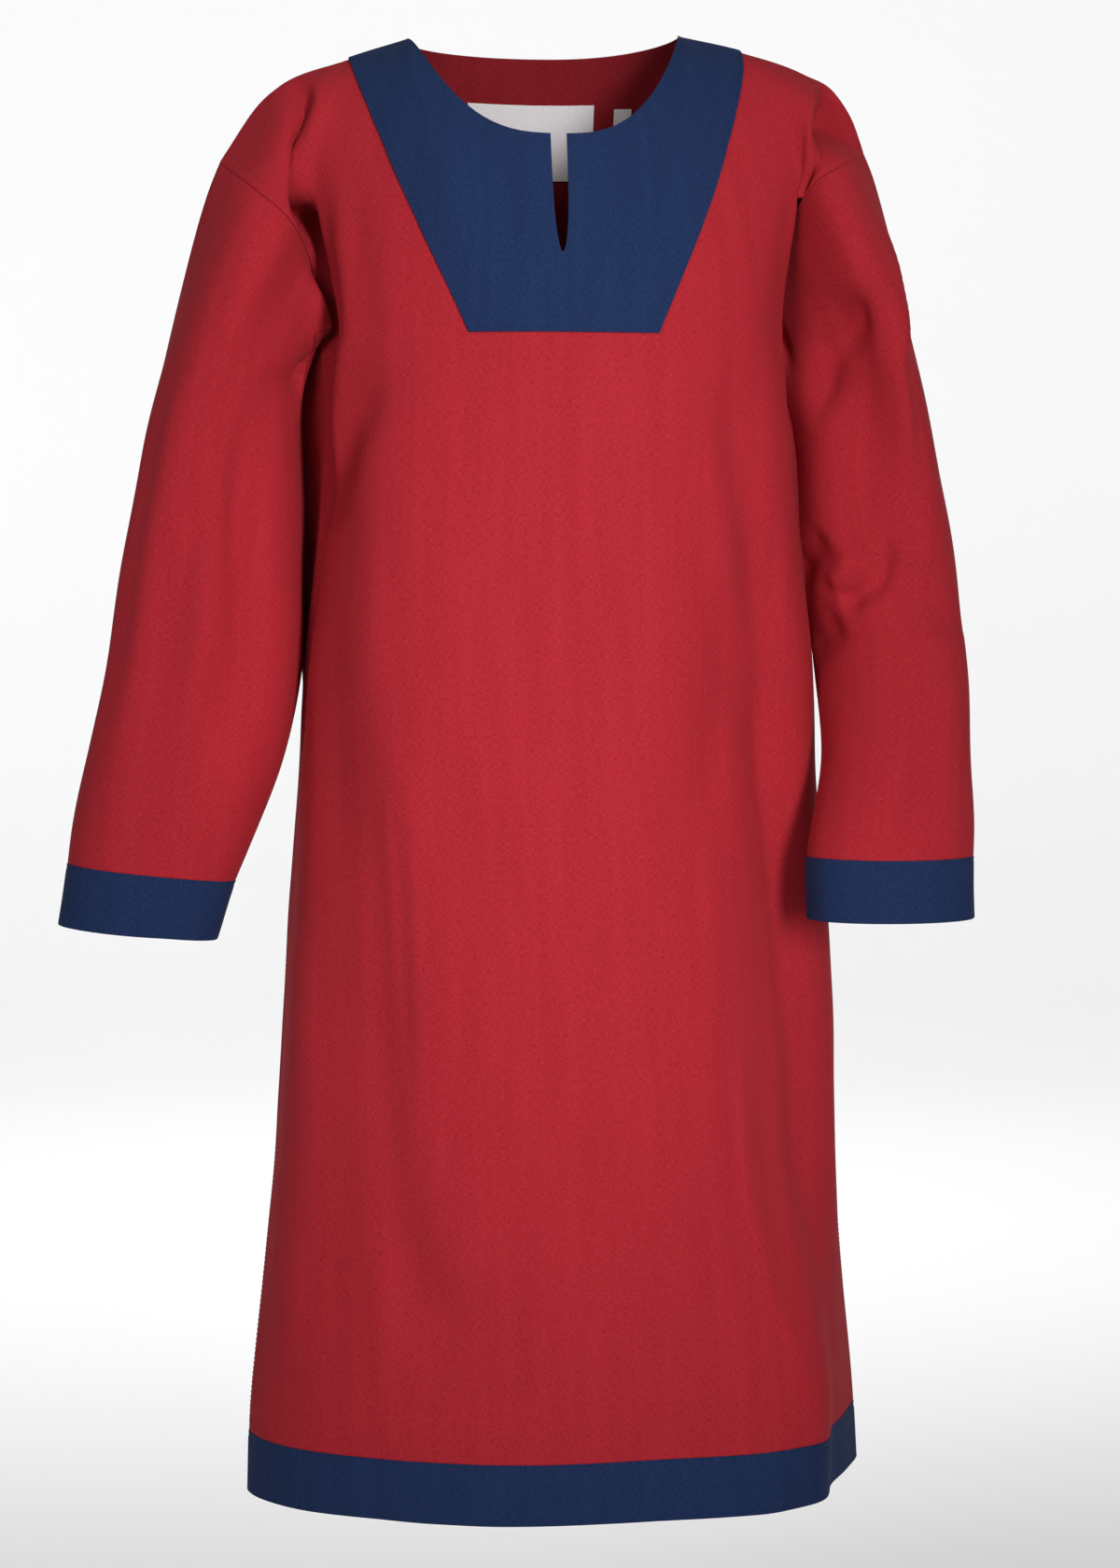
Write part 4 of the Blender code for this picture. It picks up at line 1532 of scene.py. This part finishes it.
# width and length of the cut of each kind of piece, and its area, for the cloth that shows
CUTS = {
    "front": ((0.58, 1.03), 0.52),
    "back": ((0.58, 1.04), 0.52),
    "sleeve": ((0.42, 0.52), 0.185),
    "yoke": ((0.30, 0.23), 0.045),
    "cuff": ((0.36, 0.045), 0.0153),
    "hem_band": ((0.62, 0.045), 0.027),
    "label": ((0.098, 0.056), 0.00548),
    "size_tag": ((0.013, 0.025), 0.000325),
}
# across and down at the top, across and down at the foot, width, depth inwards
FRONT_FOLDS: Table = (
    (-0.80, 0.020, -0.80, 0.230, 0.070, 0.003),
    (-0.72, 0.240, -0.62, 1.060, 0.110, 0.008),
    (0.55, 0.240, 0.72, 0.700, 0.100, 0.006),
    (0.84, 0.030, 0.82, 0.220, 0.070, 0.003),
    (0.60, 0.680, 0.68, 1.450, 0.070, -0.005),
    (1.12, 0.240, 1.12, 0.640, 0.120, -0.013),
    (1.12, 0.222, 1.12, 0.420, 0.120, -0.011),
    (0.58, 0.920, 0.58, 1.240, 0.110, -0.010),
)
FRONT_CREASES = (
    Crease(
        ((-0.73, 0.030), (-0.77, 0.054), (-0.83, 0.084), (-0.87, 0.110), (-0.905, 0.150), (-0.900, 0.200)),
        0.007, 0.015, fade_in=0.12, fade_out=0.2, lean=-0.2,
    ),
    Crease(
        ((-0.79, 0.060), (-0.86, 0.100), (-0.910, 0.145), (-0.905, 0.190),
         (-0.885, 0.230), (-0.92, 0.310), (-0.97, 0.370)),
        0.014, 0.024, fade_in=0.35, fade_out=0.25, lean=-0.35,
    ),
    Crease(
        ((-0.66, 0.100), (-0.74, 0.160), (-0.745, 0.219), (-0.83, 0.290), (-0.90, 0.345)),
        0.014, -0.005,
    ),
    Crease(
        ((-0.90, 0.180), (-0.880, 0.240), (-0.895, 0.300),
         (-0.925, 0.380), (-0.955, 0.460), (-0.98, 0.560)),
        0.014, 0.016, fade_in=0.2, fade_out=0.4, lean=-0.3,
    ),
    Crease(
        ((0.890, 0.024), (0.905, 0.040), (0.925, 0.066), (0.945, 0.090), (0.955, 0.112)),
        0.006, 0.015, fade_in=0.1, fade_out=0.15, lean=-0.2,
    ),
    Crease(
        ((0.900, 0.030), (0.930, 0.066), (0.950, 0.100), (0.955, 0.130),
         (0.950, 0.170), (0.945, 0.220), (0.955, 0.300)),
        0.012, 0.021, fade_in=0.1, lean=0.35,
    ),
    Crease(
        ((0.60, 0.340), (0.64, 0.480), (0.64, 0.700), (0.68, 0.850), (0.74, 1.000)),
        0.050, 0.026, lean=-0.35,
    ),
    Crease(((0.46, 0.235), (0.56, 0.300), (0.62, 0.380), (0.66, 0.460)), 0.026, 0.0080),
    Crease(((0.80, 0.080), (0.85, 0.140), (0.87, 0.200), (0.90, 0.280)), 0.012, -0.004),
    Crease(
        ((-0.58, 0.420), (-0.54, 0.560), (-0.50, 0.720), (-0.46, 0.860), (-0.34, 0.985)),
        0.022, 0.0085, fade_in=0.5, fade_out=0.2,
    ),
    Crease(((-0.40, 0.880), (-0.33, 0.960), (-0.28, 1.010)), 0.034, 0.0070, fade_in=0.4, fade_out=0.2),
    Crease(((-0.475, 0.520), (-0.455, 0.640), (-0.440, 0.780)), 0.006, 0.0022),
    Crease(((-0.50, 0.480), (-0.44, 0.720), (-0.41, 0.900)), 0.016, -0.0035),
    Crease(((0.36, 0.262), (0.42, 0.367), (0.47, 0.448), (0.39, 0.566), (0.39, 0.640)), 0.022, 0.0055),
    Crease(
        ((0.44, 0.700), (0.45, 0.834), (0.50, 0.912), (0.57, 1.000), (0.60, 1.070)),
        0.009, -0.0032, fade_out=0.35, lean=0.4,
    ),
    Crease(((-0.56, 0.235), (-0.68, 0.285), (-0.80, 0.335), (-0.90, 0.375)), 0.020, 0.0060),
)
BACK_FOLDS: Table = (
    (-0.60, 0.280, -0.50, 1.060, 0.120, 0.008),
    (0.10, 0.420, 0.16, 1.060, 0.120, 0.006),
    (0.62, 0.260, 0.66, 0.980, 0.110, 0.008),
    (-0.78, 0.222, -0.78, 0.480, 0.080, -0.016),
    (-0.80, 0.222, -0.80, 0.350, 0.080, -0.009),
    (0.88, 0.240, 0.88, 0.640, 0.120, -0.013),
    (0.88, 0.222, 0.88, 0.420, 0.120, -0.011),
)
BACK_CREASES = (
    Crease(((-0.88, 0.200), (-0.84, 0.250), (-0.80, 0.320)), 0.022, -0.016, fade_out=0.4),
    Crease(((-0.72, 0.050), (-0.82, 0.100), (-0.93, 0.165)), 0.011, 0.007),
    Crease(((0.74, 0.045), (0.84, 0.095), (0.93, 0.160)), 0.011, 0.007),
    Crease(((-0.84, 0.215), (-0.62, 0.310), (-0.35, 0.400)), 0.017, 0.0060),
    Crease(((0.84, 0.225), (0.62, 0.340), (0.38, 0.450)), 0.018, 0.0065),
    Crease(((0.70, 0.150), (0.52, 0.230), (0.30, 0.300)), 0.015, 0.0040),
    Crease(((-0.30, 0.450), (-0.24, 0.760), (-0.20, 1.040)), 0.022, 0.0075, lean=0.3),
    Crease(((0.36, 0.520), (0.40, 0.800), (0.44, 1.050)), 0.020, 0.0070, lean=-0.3),
    Crease(((0.02, 0.560), (0.06, 0.800), (0.10, 1.050)), 0.016, -0.0040),
)
SLEEVE_FOLDS: dict[Side, Table] = {
    Side.RIGHT: (
        (128.0, 0.110, 142.0, 0.250, 26.0, -0.012),
        (70.0, 0.300, 84.0, 0.640, 22.0, 0.006),
    ),
    Side.LEFT: (
        (58.0, 0.120, 62.0, 0.420, 18.0, -0.006),
        (96.0, 0.180, 120.0, 0.400, 22.0, 0.008),
        (90.0, 0.380, 60.0, 0.440, 30.0, 0.007),
    ),
}
SLEEVE_CREASES = {
    Side.RIGHT: (
        Crease(
            ((104.0, 0.150), (130.0, 0.186), (150.0, 0.208), (172.0, 0.222)),
            0.011, -0.016, fade_in=0.5, fade_out=0.02,
        ),
        Crease(((166.0, 0.243), (158.0, 0.246), (144.0, 0.253)), 0.010, 0.014, fade_in=0.02, fade_out=0.8),
        Crease(
            ((214.0, 0.206), (222.0, 0.250), (228.0, 0.320), (226.0, 0.400), (218.0, 0.520)),
            0.020, -0.016, fade_in=0.12,
        ),
        Crease(((96.0, 0.230), (88.0, 0.360), (66.0, 0.470), (52.0, 0.560)), 0.016, 0.0055),
        Crease(((122.0, 0.240), (119.0, 0.400), (112.0, 0.560)), 0.016, 0.0110),
        Crease(((40.0, 0.200), (34.0, 0.380), (30.0, 0.560)), 0.016, 0.0045),
        Crease(((230.0, 0.330), (250.0, 0.420), (280.0, 0.450)), 0.012, 0.0045),
        Crease(((300.0, 0.200), (290.0, 0.360), (296.0, 0.520)), 0.016, 0.0030),
    ),
    Side.LEFT: (
        Crease(
            ((10.0, 0.100), (34.0, 0.170), (46.0, 0.200), (70.0, 0.240), (80.0, 0.350)),
            0.010, -0.0070, lean=0.4,
        ),
        Crease(((138.0, 0.112), (152.0, 0.155), (162.0, 0.200), (166.0, 0.250)), 0.013, 0.010, fade_in=0.2),
        Crease(((52.0, 0.186), (86.0, 0.206), (120.0, 0.230), (154.0, 0.288)), 0.013, 0.0110),
        Crease(((146.0, 0.362), (176.0, 0.384), (200.0, 0.394)), 0.012, 0.0075),
        Crease(((126.0, 0.372), (142.0, 0.394), (156.0, 0.404)), 0.009, -0.0060),
        Crease(
            ((150.0, 0.412), (138.0, 0.410), (116.0, 0.398), (94.0, 0.364)),
            0.008, 0.0090, fade_in=0.15,
        ),
        Crease(((146.0, 0.424), (176.0, 0.440), (204.0, 0.452)), 0.014, 0.0060),
        Crease(((204.0, 0.236), (203.0, 0.420), (198.0, 0.540)), 0.018, -0.0040, fade_in=0.1),
        Crease(((100.0, 0.440), (96.0, 0.520), (104.0, 0.590)), 0.014, 0.0030),
        Crease(((230.0, 0.340), (256.0, 0.400), (290.0, 0.420)), 0.013, -0.0045),
        Crease(((300.0, 0.180), (296.0, 0.330), (304.0, 0.470)), 0.016, 0.0030),
    ),
}
SLEEVE_RUMPLES = {Side.RIGHT: Rumple(seed=13), Side.LEFT: Rumple(seed=14)}


@dataclass
class Tunic:
    """The whole garment: its pieces, creases and seams.

    Its numbers say where rows of stitches run: as levels of a surface, places across it, angles in
    degrees, and metres in seam_inset and hem_gap. slit_inset is a share of the yoke's own inset.
    """

    form: TunicForm = field(default_factory=TunicForm)
    row_start: float = 0.02
    armhole_end: float = 0.62
    side_start: float = 1.03
    hem_gap: float = 0.004
    seam_inset: float = 0.0055
    band_reach: float = 0.995
    cuff_turn: tuple[float, float] = (180.0, 537.0)
    slit_inset: float = 0.6
    neck_start: float = 0.004
    neck_reach: float = 1.02

    def front(self) -> FrontPanel:
        """Front panel with the folds and creases that show.

        Returns:
            The panel, not yet made.
        """
        return FrontPanel(
            "front", Slot.RED, *CUTS["front"], rests_on=("back",), form=self.form, folds=FRONT_FOLDS,
            creases=FRONT_CREASES, rumple=Rumple(seed=11),
        )

    def back(self) -> BackPanel:
        """Back panel, which hangs plainly with soft folds of its own.

        Returns:
            The panel, not yet made.
        """
        return BackPanel(
            "back", Slot.RED, *CUTS["back"], rests_on=("front",), form=self.form, folds=BACK_FOLDS,
            creases=BACK_CREASES, rumple=Rumple(seed=12),
        )

    def sleeve(self, side: Side) -> Sleeve:
        """One sleeve with its own folds and creases.

        Args:
            side: the wearer's right or left.

        Returns:
            The sleeve, not yet made.
        """
        return Sleeve(
            "sleeve_" + side.name.lower(), Slot.RED, *CUTS["sleeve"], rests_on=("front", "back"),
            form=self.form, side=side, folds=SLEEVE_FOLDS[side], creases=SLEEVE_CREASES[side],
            rumple=SLEEVE_RUMPLES[side],
        )

    def build(self) -> None:
        """Make every piece, then sew the seams."""
        front, back = self.front(), self.back()
        front_cloth, back_cloth = front.build(), back.build()
        yoke = Yoke("yoke", Slot.BLUE, *CUTS["yoke"], rests_on=("front",))
        yoke_cloth = yoke.build(front)
        sleeves = [self.sleeve(side) for side in Side]
        for sleeve in sleeves:
            sleeve.build()
        blue = Stitching("blue_stitches", Slot.BLUE)
        red = Stitching("red_stitches", Slot.RED)
        for panel in (front, back):
            name = "hem_band_" + panel.node
            band = HemBand(name, Slot.BLUE, *CUTS["hem_band"], rests_on=(panel.node,))
            self.sew_across(blue, band.build(panel), band.stitch_inset)
        for sleeve in sleeves:
            name = "cuff_" + sleeve.side.name.lower()
            cuff = Cuff(name, Slot.BLUE, *CUTS["cuff"], rests_on=(sleeve.node,))
            self.sew_round(blue, cuff.build(sleeve), cuff.stitch_inset)
        self.sew_yoke(blue, yoke, yoke_cloth, front)
        for panel, cloth in ((front, front_cloth), (back, back_cloth)):
            self.sew_panel(red, panel, cloth)
        blue.finish()
        red.finish()
        InsideLabel("label", Slot.WHITE, *CUTS["label"], rests_on=("back",)).build(back)
        tag = InsideLabel(
            "size_tag", Slot.WHITE, *CUTS["size_tag"], rests_on=("back",),
            left=0.064, right=0.077, top=0.039, low=0.064, curl=0.0006,
        )
        tag.build(back)

    def sew_across(self, thread: Stitching, cloth: Surface, inset: float) -> None:
        """Stitches along the whole width of a band, at a distance from its top."""
        places = np.linspace(-self.band_reach, self.band_reach, num=400)
        thread.sew(*cloth.at(np.full(len(places), inset), places))

    def sew_round(self, thread: Stitching, cloth: Surface, inset: float) -> None:
        """Stitches all round a cuff, at a distance from its top."""
        angles = np.linspace(*self.cuff_turn, num=240)
        thread.sew(*cloth.at(np.full(len(angles), inset), angles))

    def sew_yoke(self, thread: Stitching, yoke: Yoke, cloth: Surface, front: FrontPanel) -> None:
        """Stitches along the yoke's edges, the neckline and the slit.

        Args:
            thread: stitching that takes the rows.
            yoke: the yoke's sizes.
            cloth: the yoke's surface.
            front: panel that the yoke lies on.
        """
        form, inset = front.form, yoke.stitch_inset
        low = 1 - inset / front.upper
        parts = np.linspace(self.row_start, low, num=160)
        edge = form.yoke_edge(parts) - inset / front.half_arc
        for side in Side:
            thread.sew(*cloth.at(parts, side.value * edge))
        across = np.linspace(-edge[-1], edge[-1], num=120)
        thread.sew(*cloth.at(np.full(len(across), low), across))
        top = (yoke.stand_back + inset) / front.upper
        middle = cloth.across.shape[1] // 2
        slit_edge = np.interp(parts, cloth.levels, cloth.across[:, middle + 1])
        opening = slit_edge + self.slit_inset * inset / front.half_arc
        tip_level = form.neck_front_drop + form.slit_length + yoke.stand_back
        tip = np.interp(tip_level, -cloth.points[:, middle, 2], cloth.levels)
        down = np.linspace(top, tip, num=70)
        beside = np.interp(down, parts, opening)
        for side in Side:
            neck_end = form.neck_share * self.neck_reach
            neck = side.value * np.linspace(opening[0] + self.neck_start, neck_end, num=140)
            thread.sew(*cloth.at(np.full(len(neck), top), neck))
            thread.sew(*cloth.at(down, side.value * beside))

    def sew_panel(self, thread: Stitching, panel: Panel, cloth: Surface) -> None:
        """Stitches beside the armholes and the side seams of a panel.

        Args:
            thread: stitching that takes the rows.
            panel: the panel's sizes.
            cloth: the panel's surface.
        """
        place = 1 - self.seam_inset / panel.half_arc
        parts = np.linspace(self.row_start, self.armhole_end, num=150)
        downs = np.linspace(self.side_start, cloth.levels[-1] - self.hem_gap, num=420)
        for side in Side:
            for row in (parts, downs):
                thread.sew(*cloth.at(row, np.full(len(row), side.value * place)))


@dataclass(frozen=True)
class SoftBox:
    """Large soft studio lamp."""

    name: str
    place: tuple[float, float, float]
    aim: tuple[float, float, float]
    size: tuple[float, float]
    watts: float
    spread: float = 180.0

    def build(self) -> None:
        """Hang the lamp and turn it to its aim."""
        lamp = bpy.data.lights.new(self.name, "AREA")
        lamp.shape = "RECTANGLE"
        lamp.size, lamp.size_y = self.size
        lamp.energy = self.watts
        lamp.spread = math.radians(self.spread)
        holder = bpy.data.objects.new(self.name, lamp)
        holder.location = self.place
        holder.rotation_euler = (Vector(self.aim) - Vector(self.place)).to_track_quat("-Z", "Y").to_euler()
        bpy.context.scene.collection.objects.link(holder)


@dataclass(frozen=True)
class Studio:
    """Pale seamless floor, soft lamps and the camera at the photograph's angle."""

    floor_level: float = -1.42
    floor_radius: float = 4.2
    floor_sides: int = 96
    # how far each ring of the floor's rising rim steps out and up
    floor_rim: Table = ((0.7, 0.06), (0.7, 0.22), (0.6, 0.5), (0.4, 0.8), (0.2, 1.6))
    floor_finish: Finish = PlainFinish("pale_floor", (0.86, 0.86, 0.865), 0.9)
    world_colour: tuple[float, float, float] = (1.0, 1.0, 1.0)
    world_strength: float = 0.20
    azimuth: float = -7.5
    distance: float = 2.5
    camera_level: float = -0.38
    tilt: float = 3.885
    side_step: float = 0.0126
    focal_pixels: float = 3583.0
    image_height: float = 1680.0
    sensor: float = 36.0
    sight: float = 60.0
    lamps: tuple[SoftBox, ...] = (
        SoftBox("key", (0.64, -2.20, -0.08), (-0.06, 0.0, -0.42), (0.40, 1.40), 2.9, 34.0),
        SoftBox("fill", (-1.40, -2.05, 0.00), (0.14, 0.0, -0.60), (0.90, 1.40), 1.5, 42.0),
        SoftBox("backdrop_right", (-1.5, 1.0, 2.2), (-0.8, 6.4, 0.5), (1.6, 1.0), 142.0),
        SoftBox("backdrop_left", (1.5, 1.0, 2.2), (0.8, 6.4, 0.5), (1.6, 1.0), 142.0),
    )

    def build(self) -> None:
        """Set up the floor, the light and the camera."""
        self.build_floor()
        for lamp in self.lamps:
            lamp.build()
        world = bpy.data.worlds.new("studio")
        world.use_nodes = True
        sky = world.node_tree.nodes["Background"]
        sky.inputs["Color"].default_value = (*self.world_colour, 1.0)
        sky.inputs["Strength"].default_value = self.world_strength
        scene = bpy.context.scene
        scene.world = world
        scene.view_settings.view_transform = "Standard"
        scene.camera = self.build_camera()

    def build_floor(self) -> None:
        """Round floor whose rim sweeps up, so that no horizon shows."""
        bpy.ops.object.select_all(action="DESELECT")
        bpy.ops.mesh.primitive_circle_add(
            vertices=self.floor_sides, radius=self.floor_radius, fill_type="NGON",
            location=(0, 0, self.floor_level),
        )
        floor = bpy.context.object
        floor.name = "studio_floor"
        bpy.ops.object.transform_apply(location=True)
        bpy.ops.object.mode_set(mode="EDIT")
        bpy.ops.mesh.select_mode(type="EDGE")
        bpy.ops.mesh.select_all(action="DESELECT")
        bpy.ops.mesh.select_non_manifold()
        radius = self.floor_radius
        for out, up in self.floor_rim:
            bpy.ops.mesh.extrude_edges_move(TRANSFORM_OT_translate={"value": (0, 0, up)})
            grown = (radius + out) / radius
            bpy.ops.transform.resize(value=(grown, grown, 1), center_override=(0, 0, 0))
            radius += out
        bpy.ops.object.mode_set(mode="OBJECT")
        floor.data.shade_smooth()
        floor.data.materials.append(self.floor_finish.material())

    def build_camera(self) -> bpy.types.Object:
        """Camera at the photograph's angle.

        Returns:
            The camera.
        """
        turn = math.radians(self.azimuth)
        right = Vector((math.cos(turn), math.sin(turn), 0))
        ahead = Vector((-math.sin(turn), math.cos(turn), 0))
        lens = bpy.data.cameras.new("camera")
        lens.sensor_fit = "VERTICAL"
        lens.sensor_height = self.sensor
        lens.lens = self.focal_pixels / self.image_height * self.sensor
        lens.clip_end = self.sight
        camera = bpy.data.objects.new("camera", lens)
        place = right * self.side_step - ahead * self.distance
        place.z = self.camera_level
        look = ahead - Vector((0, 0, math.tan(math.radians(self.tilt))))
        camera.location = place
        camera.rotation_euler = look.to_track_quat("-Z", "Y").to_euler()
        bpy.context.scene.collection.objects.link(camera)
        return camera


def main() -> None:
    """Build the tunic and its studio."""
    logging.basicConfig(level=logging.INFO, format="%(name)s %(message)s")
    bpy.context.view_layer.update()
    Tunic().build()
    Studio().build()


if __name__ == "__main__":
    main()
